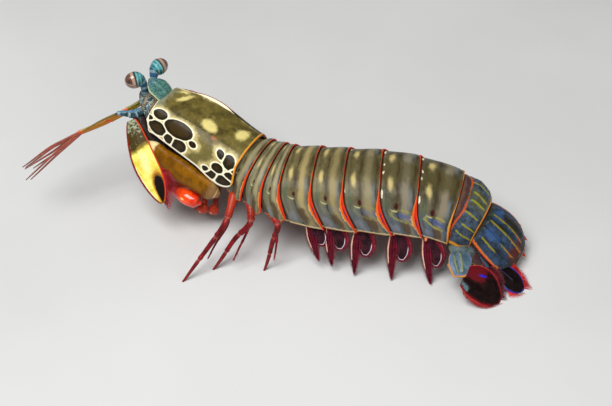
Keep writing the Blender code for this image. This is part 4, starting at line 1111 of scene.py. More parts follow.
def ring_paint(name: str, dark: Colour, light: Colour, tan: Colour, low: Colour, blue: float, top: float,
               hem: tuple[Mark, ...] = HEM_GOLD, rim: tuple[Mark, ...] = RIM_RED) -> Finish:
    """The banded paint of one ring.

    Args:
        name: The material's name.
        dark: Darker base tone.
        light: Lighter base tone.
        tan: Colour of the pale band.
        low: Colour of the lower sides.
        blue: Strength of the blue side patch and its lime line.
        top: Strength of the dark back.
        hem: Marks of the lower margin.
        rim: Marks of the rear rim.

    Returns:
        The finish.
    """
    return Finish(name, dark, light, (
        Mark("low", 0.0, 1.0, low, 0.8, 0.2, 0.35),
        Mark("mint", 0.1, 1.0, (0.085, 0.125, 0.080), 0.6, 0.2, 0.6),
        Mark("steel", 0.1, 1.0, (0.13, 0.165, 0.19), 0.5 + 0.4 * top, 0.2, 0.6),
        Mark("band", 0.1, 1.0, tan, 0.85, 0.16, 0.5),
        Mark("top", 0.2, 1.0, (0.075, 0.06, 0.018), top, 0.3, 0.35),
        Mark("darkband", 0.25, 1.0, (0.050, 0.030, 0.011), 0.9, 0.25, 0.5),
        Mark("lilac", 0.2, 0.9, (0.20, 0.21, 0.26), 0.7, 0.3, 0.6),
        Mark("blot", 0.2, 0.8, (0.085, 0.050, 0.024), 0.9, 0.25, 0.5),
        Mark("pale", 0.1, 1.0, (0.58, 0.46, 0.18), 0.9, 0.15, 0.8),
        Mark("blue", 0.3, 0.9, (0.045, 0.085, 0.26), blue, 0.25, 0.6),
        Mark("lime", 0.42, 0.1, (0.30, 0.27, 0.05), min(1.0, blue * 1.1), 0.35, 1.1),
        Mark("fleckred", 0.15, 0.8, (0.045, 0.005, 0.004), 1.0, 0.15),
        Mark("arc", 0.35, 0.8, (0.50, 0.48, 0.25), 0.85, 0.15),
        Mark("cream", 0.45, 0.75, (0.90, 0.82, 0.58), 0.95, 0.2, 1.2),
        # fore: painted shadow, a dark strip at each ring's front under the rim of the ring ahead
        Mark("fore", 0.42, 0.1, (0.05, 0.025, 0.015), 0.7, 0.1),
        *hem, *rim,
        # crown: painted shade on the rim over the top of the back
        Mark("crown", 0.1, 0.9, (0.26, 0.018, 0.008), 0.85, 0.15),
        Mark("belly", 0.4, 0.6, (0.36, 0.15, 0.12), 1.0)),
        cloud=0.22, fleck=0.35, fleck_scale=1.7, rough=0.45, coat=0.06, grain=0.14, grain_scale=2.2,
        stretch=(1.0, 0.55, 0.55))


@dataclass(frozen=True)
class Body:
    """Every ring from the free thorax to the last before the tail plate."""

    gap: float = 0.15
    joints: tuple[float, ...] = (16.3, 26.9, 37.2, 48.7, 60.1, 72.6)

    def thorax(self) -> list[Ring]:
        """The three free thorax rings.

        Returns:
            The rings, from the front.
        """
        coat = ring_paint(
            "thorax_shell", (0.12, 0.11, 0.055), (0.23, 0.20, 0.10), (0.34, 0.29, 0.16),
            (0.16, 0.155, 0.09), 0.0, 0.1, HEM_RED)
        return [Ring("thorax_6", -2.0, 5.2 - self.gap, coat, "thorax_shell", tuck=0.6, step_in=1.55,
                     hold=0.32, lobe=1.2, drop=1.5, depth=-3.0, sink=0.6, flare=0.3, rim=0.36),
                Ring("thorax_7", 5.2 + self.gap, 10.9 - self.gap, coat, "thorax_shell", lobe=1.4, drop=2.3,
                     depth=-2.4, sink=0.8, flare=0.3, rim=0.36, snow=0.4),
                Ring("thorax_8", 10.9 + self.gap, 16.3 - self.gap, coat, "thorax_shell", lobe=2.0, drop=1.9,
                     depth=-1.6, sink=1.0, flare=0.45, rim=0.38, snow=0.4)]

    def abdomen(self) -> list[Ring]:
        """The five banded abdomen rings.

        Returns:
            The rings, from the front.
        """
        rings = []
        for i, (a, b) in enumerate(zip(self.joints, self.joints[1:])):
            t = i / 4
            tan = ((0.40, 0.31, 0.13), (0.33, 0.26, 0.11), (0.27, 0.225, 0.12), (0.24, 0.21, 0.145),
                   (0.25, 0.205, 0.135))[i]
            coat = ring_paint(
                "abdomen_shell_%d" % (i + 1), (0.085 - 0.04 * t, 0.070 - 0.03 * t, 0.028 - 0.008 * t),
                (0.20 - 0.09 * t, 0.16 - 0.065 * t, 0.066 - 0.015 * t), tan,
                (0.13 - 0.05 * t, 0.135 - 0.02 * t, 0.11 + 0.06 * t), (0.0, 0.1, 0.25, 0.55, 0.9)[i],
                0.15 + 0.65 * t, rim=RIM_AMBER if i == 4 else RIM_RED)
            rings.append(
                Ring("abdomen_%d" % (i + 1), a + self.gap, b - self.gap, coat,
                     flare=(0.9, 1.1, 1.2, 1.2, 0.35)[i], snow=(0.2, 0.3, 0.65, 1.0, 1.0)[i], bold=i / 4,
                     hang=1.5 - 0.35 * i))
        return rings

    def last(self) -> Ring:
        """The keeled ring in front of the tail plate.

        Returns:
            The ring.
        """
        coat = Finish("tail_ring_shell", (0.022, 0.030, 0.038), (0.065, 0.10, 0.16), (
            Mark("top", 0.0, 1.0, (0.10, 0.10, 0.030), 0.5, 0.3, 0.4),
            Mark("between", 0.0, -0.5, (0.060, 0.026, 0.020), 0.9, 0.3, 0.5),
            Mark("between", -1.2, -2.2, (0.20, 0.10, 0.07), 0.5, 0.5, 0.4),
            Mark("vee", 0.5, 0.2, (0.48, 0.07, 0.012), 1.0, 0.15),
            Mark("keel", 0.6, 0.2, (0.26, 0.25, 0.015), 0.95, 0.2, 0.9),
            Mark("hem", 1.7, 1.3, (0.70, 0.30, 0.02), 1.0, 0.1),
            Mark("aft", 0.75, 0.5, (0.66, 0.27, 0.02), 1.0, 0.15),
            Mark("aft", 0.35, 0.2, (0.52, 0.08, 0.012), 1.0, 0.1),
            Mark("belly", 0.4, 0.6, (0.26, 0.16, 0.14), 1.0)),
            cloud=0.5, fleck=0.45, rough=0.42, coat=0.08, grain=0.2)
        return Ring("abdomen_6", 72.6 + self.gap, 82.9 - self.gap, coat, "tail_shell", step_in=0.7,
                    depth=1.4, sink=1.8,
                    keels=(
                        (1.6, -0.4, 0.3, 0.9), (6.2, 0.9, 0.25, 0.85), (11.2, 1.6, 0.3, 0.95),
                        (15.0, 2.6, 0.15, 0.98)))

    def dress(self) -> None:
        """Make every ring."""
        for ring in [*self.thorax(), *self.abdomen(), self.last()]:
            ring.dress()


# Fore body

@dataclass(frozen=True)
class SoftBody:
    """The flesh under the carapace with the folds of its lower sides; its near-black skin and the two dark
    masses under the head are painted shade.
    """

    stations: Knots = ((-37.5, 0.80), (-36.5, 0.96), (-33.0, 1.0), (-22.0, 1.0), (-9.0, 1.0), (-2.3, 0.97))
    square: float = 0.889
    lows: Knots = ((-38.0, -4.0), (-30.0, -7.5), (-18.0, -8.5), (-6.0, -7.0), (-2.0, -3.0))
    # near-black skin: painted shade for the dark under the carapace and head
    skin: Finish = Finish("soft_body_skin", (0.008, 0.007, 0.007), (0.035, 0.018, 0.014), (
        Mark("fold", 0.3, 0.95, (0.10, 0.045, 0.035), 0.6, 0.2),), cloud=0.5, rough=0.4, coat=0.05,
        grain=0.5, grain_scale=2.4)

    def dress(self) -> None:
        """Make the soft body."""
        table, lows = np.array(self.stations), np.array(self.lows)
        s = np.linspace(-37.5, -2.3, 110)[:, None]
        grow = np.interp(s, table[:, 0], table[:, 1])
        w, h = (LINE.at(s, 4) - 1.5) * grow, (LINE.at(s, 5) - 1.5) * grow
        a = np.linspace(0, math.pi, 90)[None]
        c, v = np.cos(a), np.sin(a)
        over = LINE.place(s + 0 * a, w * np.sign(c) * abs(c) ** self.square, h * abs(v) ** self.square)
        u = np.linspace(-0.95, 0.95, 70)[None]
        ribs = 0.35 * np.sin(s * 2.4) * ramp(1 - abs(u), 0.0, 0.2)
        low = np.interp(s, lows[:, 0], lows[:, 1]) * (1 - abs(u / 0.95) ** 9) + ribs * 0.5
        under = LINE.place(s + 0 * u, w * u, low)
        fold = np.concatenate([np.zeros_like(s * a), 0.5 + 0.5 * np.sin(s * 2.4) + 0 * u], 1)
        flesh = [grid(np.concatenate([over, under], 1), {"fold": fold})]
        # two near-black masses under the front that stand in for the shade under the head's sides
        for side in Side:
            y = side.value
            flesh.append(
                tube([(*at(-25, 5 * y, -6), 3.6), (*at(-31, 6.6 * y, -6.4), 4.2),
                      (*at(-36.5, 6.8 * y, -4.2), 4.0), (*at(-40, 6 * y, -1.2), 3.0)], 50, 40))
        piece("trunk", flesh, self.skin, "soft_body")


@dataclass(frozen=True)
class Head:
    """The block that bears the eyes and feelers, its plates, and the plate over them."""

    rows: Knots = (
        (-37.0, 7.6, -0.9, 8.6), (-37.9, 7.4, -0.5, 8.6), (-39.5, 6.8, 0.0, 8.8), (-41.5, 5.6, 1.6, 8.8),
        (-43.2, 4.4, 2.8, 8.8), (-44.6, 3.0, 4.2, 8.2))
    plate: Knots = (
        (-35.6, 3.8, 10.0), (-36.2, 3.95, 10.3), (-37.6, 4.2, 11.0), (-39.6, 4.3, 11.6), (-41.4, 4.1, 11.9),
        (-42.8, 3.6, 11.9), (-43.8, 2.4, 11.8))
    shell: Finish = Finish("head_shell", (0.012, 0.030, 0.050), (0.045, 0.13, 0.20), (
        Mark("freckle", 0.5, 0.6, (0.52, 0.56, 0.44), 0.75, 0.5, 2.2),
        Mark("freckle", 0.26, 0.16, (0.12, 0.08, 0.015), 0.8, 0.42, 1.6),
        Mark("seam", 0.7, 1.0, (0.50, 0.56, 0.50), 0.5, 0.6, 2.2),
        Mark("patch", 0.66, 0.84, (0.26, 0.16, 0.05), 0.7, 0.5, 2.0)),
        cloud=0.55, fleck=0.5, fleck_scale=2.6, rough=0.39, coat=0.2, grain=0.4, grain_scale=2.2)
    teal: Finish = Finish("rostral_plate_shell", (0.018, 0.070, 0.068), (0.07, 0.22, 0.19), (
        Mark("west", 0.2, 0.8, (0.045, 0.11, 0.16), 0.75, 0.3, 1.2),
        Mark("freckle", 0.5, 0.62, (0.22, 0.42, 0.33), 0.55, 0.5, 3.2),
        Mark("freckle", 0.3, 0.2, (0.012, 0.05, 0.05), 0.8, 0.42, 2.6),
        Mark("edge", 0.5, 0.22, (0.42, 0.46, 0.24), 0.95, 0.12),
        Mark("keel", 0.4, 0.15, (0.16, 0.36, 0.28), 0.25, 0.3)),
        cloud=0.7, fleck=0.55, fleck_scale=3.2, rough=0.44, coat=0.15, grain=0.35, grain_scale=3.4)

    def block(self) -> Part:
        """The head's block, with low swellings.

        Returns:
            The mesh.
        """
        rows = spline(
            [(s, (lo + hi) / 2, (hi - lo) / 2, w) for s, w, lo, hi in self.rows], np.linspace(0, 1, 60))
        turn = np.linspace(0, 2 * math.pi, 80, endpoint=False)[None]
        s, c, h, w = (rows[:, k][:, None] for k in range(4))
        lump = 1 + 0.035 * np.sin(3 * turn + s * 1.3) * np.sin(s * 1.9)
        points = LINE.place(s + 0 * turn, w * lump * np.cos(turn), c + h * lump * np.sin(turn))
        marks = {"seam": abs(np.sin(s * 0.95 + 0.8 * np.cos(turn))) ** 6,
                 "patch": 0.5 + 0.5 * np.sin(s * 1.7 + 2.2 * turn),
                 "freckle": 0.38 + 0.06 * np.sin(s * 1.9) * np.cos(3.0 * turn)}
        return grid(points, marks)

    def dress(self) -> None:
        """Make the head and the plate over it."""
        piece("head", [self.block()], self.shell, "head_blue")
        rows = [(*at(s, 0.0, z), w, w, 0.8) for s, w, z in self.plate]
        part = leaf(rows, LINE.axes(np.array(-38.0))[2], 80, 60, 0.07, 0.5,
                    (Keel(0.0, 0.5, 0.3, 0.05, 1.0),), 0.3, power=1.5)
        part["freckle"] = (0.46 + 0.05 * np.sin(part.points[:, 0] * 2.1) * np.sin(part.points[:, 1] * 2.7))
        part["west"] = ramp(part["run"], 0.45, 0.8)
        piece("rostral_plate", [part], self.teal, "rostral_teal")


# Leaves with fringes

@dataclass(frozen=True)
class Blade:
    """A leaf of a limb or of the tail fan, with the hairs along its edges.

    The widths hold shares of the length with the half width at the left and
    at the right.
    """

    start: Array
    tip: Array
    facing: Array
    widths: Knots
    thick: tuple[float, float] = (1.1, 0.7)
    bow: float = 0.0
    lean: Array | None = None
    bulge: float = 0.02
    rounding: float = 0.7
    power: float = 2.0
    keels: tuple[Keel, ...] = ()
    wave: float = 0.0
    size: float = 1.0

    def rows(self) -> list[tuple[float, ...]]:
        """Knots of the leaf.

        Returns:
            Rows of place, half widths and thickness.
        """
        out = []
        lean = self.facing * 0 if self.lean is None else self.lean
        for t, a, b in self.widths:
            p = (self.start + (self.tip - self.start) * t
                 + (self.facing * self.bow + lean) * math.sin(math.pi * t))
            out.append((*p, a * self.size, b * self.size, blend(self.thick[0], self.thick[1], t)))
        return out

    def mesh(self, count: int, columns: int) -> Part:
        """The leaf's mesh."""
        return leaf(self.rows(), self.facing, count, columns, self.bulge, self.rounding, self.keels, 0.26,
                    self.wave, self.power)

    def fringe(self, start: float, end: float, count: int, length: float, radius: float, seed: int,
               edges: tuple[int, ...] = (1, -1), spread: float = 0.8) -> Part:
        """Grow hairs along the edges.

        Args:
            start: Share of the length where the hairs start.
            end: Share where they end.
            count: Hairs along each edge.
            length: Length of the longest hairs.
            radius: Half width at the root.
            seed: Seed of the small changes between hairs.
            edges: Which edges, 1 at the right and -1 at the left.
            spread: How far the first hairs stand out sideways.

        Returns:
            The hairs.
        """
        chance = np.random.default_rng(seed)
        parts = []
        for edge in edges:
            steps = (np.arange(count) + chance.uniform(-0.4, 0.4, count)) / count
            share = np.sort(blend(start, end, steps))
            full = spline(self.rows(), share)
            tip = np.clip((share - self.rounding) / (1 - self.rounding), 0, 0.998)
            close = (1 - tip ** self.power) ** (1 / self.power)
            path = full[:, :3]
            pairs = np.clip(share[:, None] + np.array([-0.01, 0.01]), 0, 1).ravel()
            dense = spline(self.rows(), pairs)[:, :3]
            forward = unit(dense[1::2] - dense[::2])
            side = unit(np.cross(forward, self.facing))
            over = np.cross(side, forward)
            wide = full[:, 4 if edge > 0 else 3] * close - 0.12
            q = ramp(share, start, 1.0)[:, None]
            way = side * edge * blend(spread, 0.12, q) + forward * blend(0.55, 1.0, q)
            way = (way + over * chance.normal(0, 0.05, (count, 1))
                   + side * chance.normal(0, 0.05, (count, 1)))
            root = path + side * (wide * edge)[:, None]
            size = (length * (0.72 + 0.28 * np.sin(math.pi * ramp(share, start - 0.15, 1.05)))
                    * chance.uniform(0.8, 1.0, count))
            floor = (root + unit(way) * size[:, None])[:, 2]
            way[:, 2] += np.maximum(0.15 - floor, 0) / np.maximum(size, 0.1)
            places = np.stack([share, 0.5 + 0.42 * edge * close], -1)
            parts.append(bristles(root, way, size, radius, places))
        return joined(parts)


HAIR_RED = Finish("crimson_hairs", (0.20, 0.004, 0.010), (0.46, 0.018, 0.026),
                  (Mark("run", 0.45, 1.0, (0.62, 0.10, 0.13), 0.6),), rough=0.42, coat=0.04, grain=0.0)
HAIR_BRIGHT = Finish("scarlet_hairs", (0.42, 0.008, 0.012), (0.82, 0.03, 0.03),
                     (Mark("run", 0.5, 1.0, (0.85, 0.16, 0.10), 0.5),), rough=0.45, coat=0.02, grain=0.0)
HAIR_DARK = Finish("maroon_hairs", (0.06, 0.005, 0.010), (0.19, 0.014, 0.026),
                   (Mark("run", 0.4, 1.0, (0.42, 0.12, 0.12), 0.6),), rough=0.45, coat=0.03, grain=0.0)


# Eyes

@dataclass(frozen=True)
class Eye:
    """One stalked eye: a teal cap on its stalk and the clear surface in front."""

    side: Side
    centre: Point
    look: Point
    long: float = 3.35
    tall: float = 3.0
    wide: float = 2.8
    cut: float = -0.15
    station: float = -44.0
    cap: Finish = Finish("eyestalk_skin", (0.016, 0.16, 0.18), (0.05, 0.36, 0.38), (
        Mark("streak", 0.45, 0.62, (0.012, 0.06, 0.085), 0.6, 0.12, 1.2),
        Mark("rim", 0.5, 0.3, (0.012, 0.03, 0.04), 0.95, 0.05),
        Mark("stem", 0.3, 0.7, (0.025, 0.07, 0.16), 0.9, 0.2),
        Mark("ringed", 0.7, 0.9, (0.40, 0.55, 0.52), 0.45, 0.2)),
        cloud=0.5, fleck=0.45, fleck_scale=3.0, rough=0.36, coat=0.22, grain=0.2, grain_scale=3.0)
    clear: Finish = Finish("eye_surface", (0.07, 0.028, 0.020), (0.17, 0.075, 0.052), (
        Mark("axial", 1.35, 1.0, (0.46, 0.31, 0.22), 0.9, 0.08, 1.0),
        Mark("axial", 0.5, 0.25, (0.30, 0.15, 0.10), 0.7, 0.06),
        Mark("band", 0.62, 0.5, (0.52, 0.34, 0.27), 0.7, 0.05),
        Mark("band", 0.18, 0.1, (0.05, 0.018, 0.012), 0.9),
        Mark("pupil", 0.35, 0.8, (0.012, 0.006, 0.005), 0.9),
        Mark("axial", 0.16, 0.04, (0.02, 0.03, 0.035), 1.0)),
        cloud=0.35, fleck=0.25, fleck_scale=5.0, rough=0.12, coat=1.0, grain=0.05, pits=0.12, pit_scale=5.5)

    def axes(self) -> tuple[Array, Array, Array, Array]:
        """How the eye stands.

        Returns:
            Its centre and the look, tall and wide directions.
        """
        tail, left, up = LINE.axes(np.array(self.station))
        middle = at(*self.centre)
        look = unit(tail * self.look[0] + left * self.look[1] + up * self.look[2])
        tall = unit(up - look * (up @ look))
        return middle, look, tall, np.cross(look, tall)

    def dome(self, first: float, last: float, count: int = 34, sides: int = 64) -> Triple:
        """Rings of the long oval between two places on its axis.

        Args:
            first: Where it starts, along the look direction.
            last: Where it ends.
            count: Rings.
            sides: Points around.

        Returns:
            The points, their place on the axis and their height share.
        """
        middle, look, tall, wide = self.axes()
        x = blend(first, last, np.sin(np.linspace(0, math.pi / 2, count)))[:, None]
        r = np.sqrt(np.maximum(1 - (x / self.long) ** 2, 0.0005))
        turn = np.linspace(0, 2 * math.pi, sides, endpoint=False)[None]
        waist = 1 - 0.03 * hill(np.cos(turn), 0.0, 0.16)
        points = (middle + look * x[..., None] + tall * (self.tall * r * np.cos(turn) * waist)[..., None]
                  + wide * (self.wide * r * np.sin(turn) * waist)[..., None])
        return points, x + 0 * turn, r * np.cos(turn)

    def dress(self) -> None:
        """Make the cap with its stalk, and the clear surface."""
        middle, look, _, _ = self.axes()
        up = LINE.axes(np.array(self.station))[2]
        points, x, high = self.dome(self.cut - 0.04, -self.long * 0.98)
        cap = grid(points, {
            "streak": 0.5 + 0.5 * np.sin(high * 5.2 + 1.0), "rim": self.cut - x,
            "ringed": abs(np.sin(x * 2.6 + high))})
        root = at(-42.6, 2.4 * self.side.value, 7.2)
        end = middle - look * 1.9 - up * 0.4
        knee = root + (middle - look * 2.6 - root) * 0.6 + up * 0.3
        stalk = tube([(*root, 1.35), (*knee, 1.45), (*end, 1.95)], 40, 36, up, knots=(0.55,),
                     knot_size=0.12)
        stalk.mark(stem=1.0, rim=FAR, ringed=abs(np.sin(stalk["run"] * 9.0)))
        piece("eyestalk_" + self.side.word, [cap, stalk], self.cap, "eyestalk_teal")
        points, x, high = self.dome(self.cut + 0.1, self.long * 0.995)
        lens = grid(points, {
            "axial": x - self.cut, "band": abs(high) * 2.2,
            "pupil": np.exp(-((x - 2.3) ** 2 / 0.35 + (abs(high) - 0.42) ** 2 / 0.02))})
        piece("eye_" + self.side.word, [lens], self.clear, "eye_surface")


# Feelers

@dataclass(frozen=True)
class Antennule:
    """A jointed stem that ends in three ringed whips."""

    side: Side
    joints: tuple[Point, ...]
    ends: tuple[Point, ...]
    stem: Finish = Finish("antennule_stem", (0.16, 0.13, 0.01), (0.36, 0.26, 0.02), (
        Mark("part", 1.6, 2.3, (0.50, 0.17, 0.012), 0.9, 0.15),
        Mark("part", 1.02, 0.8, (0.03, 0.15, 0.26), 0.95, 0.1),
        Mark("joint", 0.85, 0.3, (0.62, 0.06, 0.01), 1.0, 0.1),
        Mark("glint", 0.8, 1.0, (0.5, 0.62, 0.3), 0.3)),
        cloud=0.6, rough=0.39, coat=0.18, grain=0.15)
    whip: Finish = Finish("antennule_whip", (0.16, 0.02, 0.02), (0.34, 0.06, 0.035), (
        Mark("bead", 0.35, 0.75, (0.52, 0.20, 0.12), 0.45),
        Mark("run", 0.5, 1.0, (0.10, 0.05, 0.035), 0.6)),
        cloud=0.5, rough=0.35, coat=0.11, grain=0.1)

    def dress(self) -> None:
        """Make the stem and the whips."""
        root = at(-42.8, 1.7 * self.side.value, 5.6)
        chain = np.array([root, *self.joints])
        wide = (0.86, 0.74, 0.7, 0.68, 0.66)
        lengths = np.linalg.norm(np.diff(chain, axis=0), axis=1)
        knots = np.cumsum(lengths) / lengths.sum()
        stem = tube([(*p, r) for p, r in zip(chain, wide)], 150, 20, knots=tuple(knots[:-1]), knot_size=0.2)
        run = stem["run"]
        stem.mark(part=np.interp(run, [0, *knots], np.arange(len(knots) + 1.0)),
                  glint=abs(stem["turn"]),
                  joint=np.min(abs(run[:, None] - knots[None]), axis=1) * lengths.sum())
        name = "antennule_" + self.side.word
        piece(name, [stem], self.stem, "feeler_orange")
        start, whips = chain[-1], []
        for k, end in enumerate(np.array(self.ends)):
            bow = (start + end) / 2 + UP * (1.2 - 0.9 * k)
            lane = [(*start, 0.44), (*((start + bow) / 2), 0.42), (*bow, 0.38), (*((bow + end) / 2), 0.32),
                    (*end, 0.17)]
            whips.append(ringed(lane, 300, 10, 60))
        piece(name + "_whips", whips, self.whip, "feeler_orange", extra=True)


def ringed(rows: list[tuple[float, ...]], count: int, sides: int, rings: int) -> Part:
    """A whip of many short rings.

    Args:
        rows: Knots of the whip.
        count: Rows of points along it.
        sides: Points around it.
        rings: How many rings show.

    Returns:
        The mesh, with mark bead.
    """
    part = tube(rows, count, sides)
    wave = np.sin(part["run"] * rings * 2 * math.pi)
    path = spline(rows, np.clip(part["run"], 0, 1))[:, :3]
    part.points = path + (part.points - path) * (1 + 0.09 * wave)[:, None]
    part.mark(bead=0.5 + 0.5 * wave)
    return part


@dataclass(frozen=True)
class Antenna:
    """The jointed base and whip of one side, with its broad oval scale."""

    side: Side
    stations: Knots = ((-40.2, 5.0, 2.8), (-42.2, 8.0, 1.5), (-43.8, 9.6, 1.6), (-46.2, 11.2, 1.2))
    widths: Knots = (
        (0.0, 1.9, 1.6), (0.05, 2.6, 2.2), (0.16, 3.6, 2.8), (0.3, 4.4, 3.4), (0.48, 4.9, 3.9),
        (0.65, 4.6, 4.3), (0.8, 4.2, 4.4), (1.0, 3.4, 4.2))
    stem: Finish = Finish("antenna_stem", (0.012, 0.03, 0.04), (0.035, 0.11, 0.14), (
        Mark("joint", 0.7, 0.25, (0.36, 0.46, 0.50), 0.8, 0.3, 1.6),
        Mark("shine", 0.75, 0.95, (0.10, 0.24, 0.36), 0.8, 0.2),
        Mark("lash", 0.3, 0.7, (0.20, 0.13, 0.015), 0.9, 0.2)),
        cloud=0.7, fleck=0.5, rough=0.36, coat=0.2, grain=0.3)
    yellow: Finish = Finish("antennal_scale_shell", (0.70, 0.56, 0.05), (0.95, 0.86, 0.20), (
        Mark("glow", 0.35, 1.0, (1.0, 0.92, 0.42), 0.7, 0.1, 0.5),
        Mark("root", 0.2, 0.55, (0.20, 0.13, 0.008), 0.9, 0.16, 0.6),
        Mark("root", 0.5, 0.95, (0.045, 0.026, 0.004), 0.95, 0.16, 0.6),
        Mark("base", 0.45, 0.75, (0.34, 0.38, 0.24), 0.85, 0.75, 1.5),
        Mark("rust", 0.1, 0.75, (0.50, 0.16, 0.012), 0.85, 0.12, 0.6),
        Mark("eyespot", 0.5, 0.15, (0.006, 0.003, 0.002), 1.0, 0.06),
        Mark("cream", 0.2, 0.7, (0.86, 0.82, 0.5), 0.9, 0.1),
        Mark("inner", 0.55, 0.3, (0.60, 0.05, 0.012), 1.0, 0.05),
        Mark("outer", 0.85, 0.5, (0.22, 0.015, 0.008), 1.0, 0.1)),
        cloud=0.18, fleck=0.08, fleck_scale=1.5, rough=0.46, coat=0.03, shine=0.1, grain=0.1,
        grain_scale=1.4)

    def scale(self) -> Blade:
        """The broad scale beside the head.

        Returns:
            The leaf.
        """
        sign = self.side.value
        base = at(-41.4, 9.8 * sign, 0.2)
        if self.side is Side.LEFT:
            tip, facing = np.array([-49.8, 11.3, 13.8]), np.array([-0.20, -0.60, 0.76])
            widths = tuple((t, b, a) for t, a, b in self.widths)
        else:
            tail, left, up = LINE.axes(np.array(-36.0))
            tip, widths = at(-24.5, -21.0, -15.5), self.widths
            facing = left * -0.74 + up * 0.62 - tail * 0.2
        return Blade(base, tip, unit(facing), widths, (1.1, 0.6), 1.3, bulge=0.03, rounding=0.55, power=2.0)

    def dress(self) -> None:
        """Make the base, whip, scale and fringe."""
        sign = self.side.value
        root, elbow, knuckle, third = (at(s, y * sign, z) for s, y, z in self.stations)
        tip = third + (np.array([-12.6, -4.6, -4.4]) if sign > 0 else np.array([-6.5, 2.0, -4.0]))
        base = tube([(*root, 1.5), (*elbow, 1.5), (*knuckle, 1.15), (*third, 0.8)], 90, 28,
                    knots=(0.33, 0.62), knot_size=0.16)
        away = abs(base["run"][:, None] - np.array([0.33, 0.62, 0.98])).min(axis=1)
        base.mark(joint=away * 12, shine=abs(base["turn"]))
        mid = third + (tip - third) * 0.4 + UP * 0.4
        whip = ringed([(*third, 0.5), (*mid, 0.42), (*tip, 0.22)], 220, 10, 44)
        whip.mark(joint=FAR, shine=0.6 * whip["bead"], lash=ramp(whip["run"], 0.0, 0.2))
        name = "antenna_" + self.side.word
        piece(name, [base, whip], self.stem, "feeler_blue")
        blade = self.scale()
        part = blade.mesh(150, 90)
        run, across = part["run"], part["across"] * -sign
        edge, length = part["edge"], float(np.linalg.norm(blade.tip - blade.start))
        x, y = (across - 0.47) * 4.3, (run - 0.84) * length
        oval = np.sqrt((x / 2.3) ** 2 + (y / 5.6) ** 2)
        part["eyespot"] = oval - 0.62
        part["rust"] = np.exp(-np.maximum(oval - 0.8, 0) ** 2 / 0.16) + ramp(run, 0.9, 1.0) * 0.5
        part["root"] = (ramp(run, 0.40, 0.26) * 0.95 + 0.6 * ramp(run, 0.5, 0.25) * ramp(across, 0.1, -0.7))
        part["base"] = 0.72 * ramp(run, 0.2, 0.1)
        part["glow"] = hill(run, 0.5, 0.22) * hill(across, -0.05, 0.5)
        part["inner"] = blend(FAR, edge, (across > 0) * (run < 0.97))
        part["outer"] = blend(FAR, edge, across < 0)
        part["cream"] = (
            hill(edge, 0.75, 0.3) * ramp(across, -0.2, -0.6) * ramp(run, 0.35, 0.7) * ramp(run, 0.99, 0.9))
        name = "antennal_scale_" + self.side.word
        piece(name, [part], self.yellow, "scale_yellow")
        inner = blade.fringe(0.62, 0.995, 260, 5.6, 0.055, 5, (-sign,), 0.75)
        outer = blade.fringe(0.2, 0.99, 130, 0.9, 0.045, 6, (sign,), 0.5)
        piece(name + "_fringe", [inner, outer], HAIR_RED, "scale_yellow", extra=True)


# Striking limbs

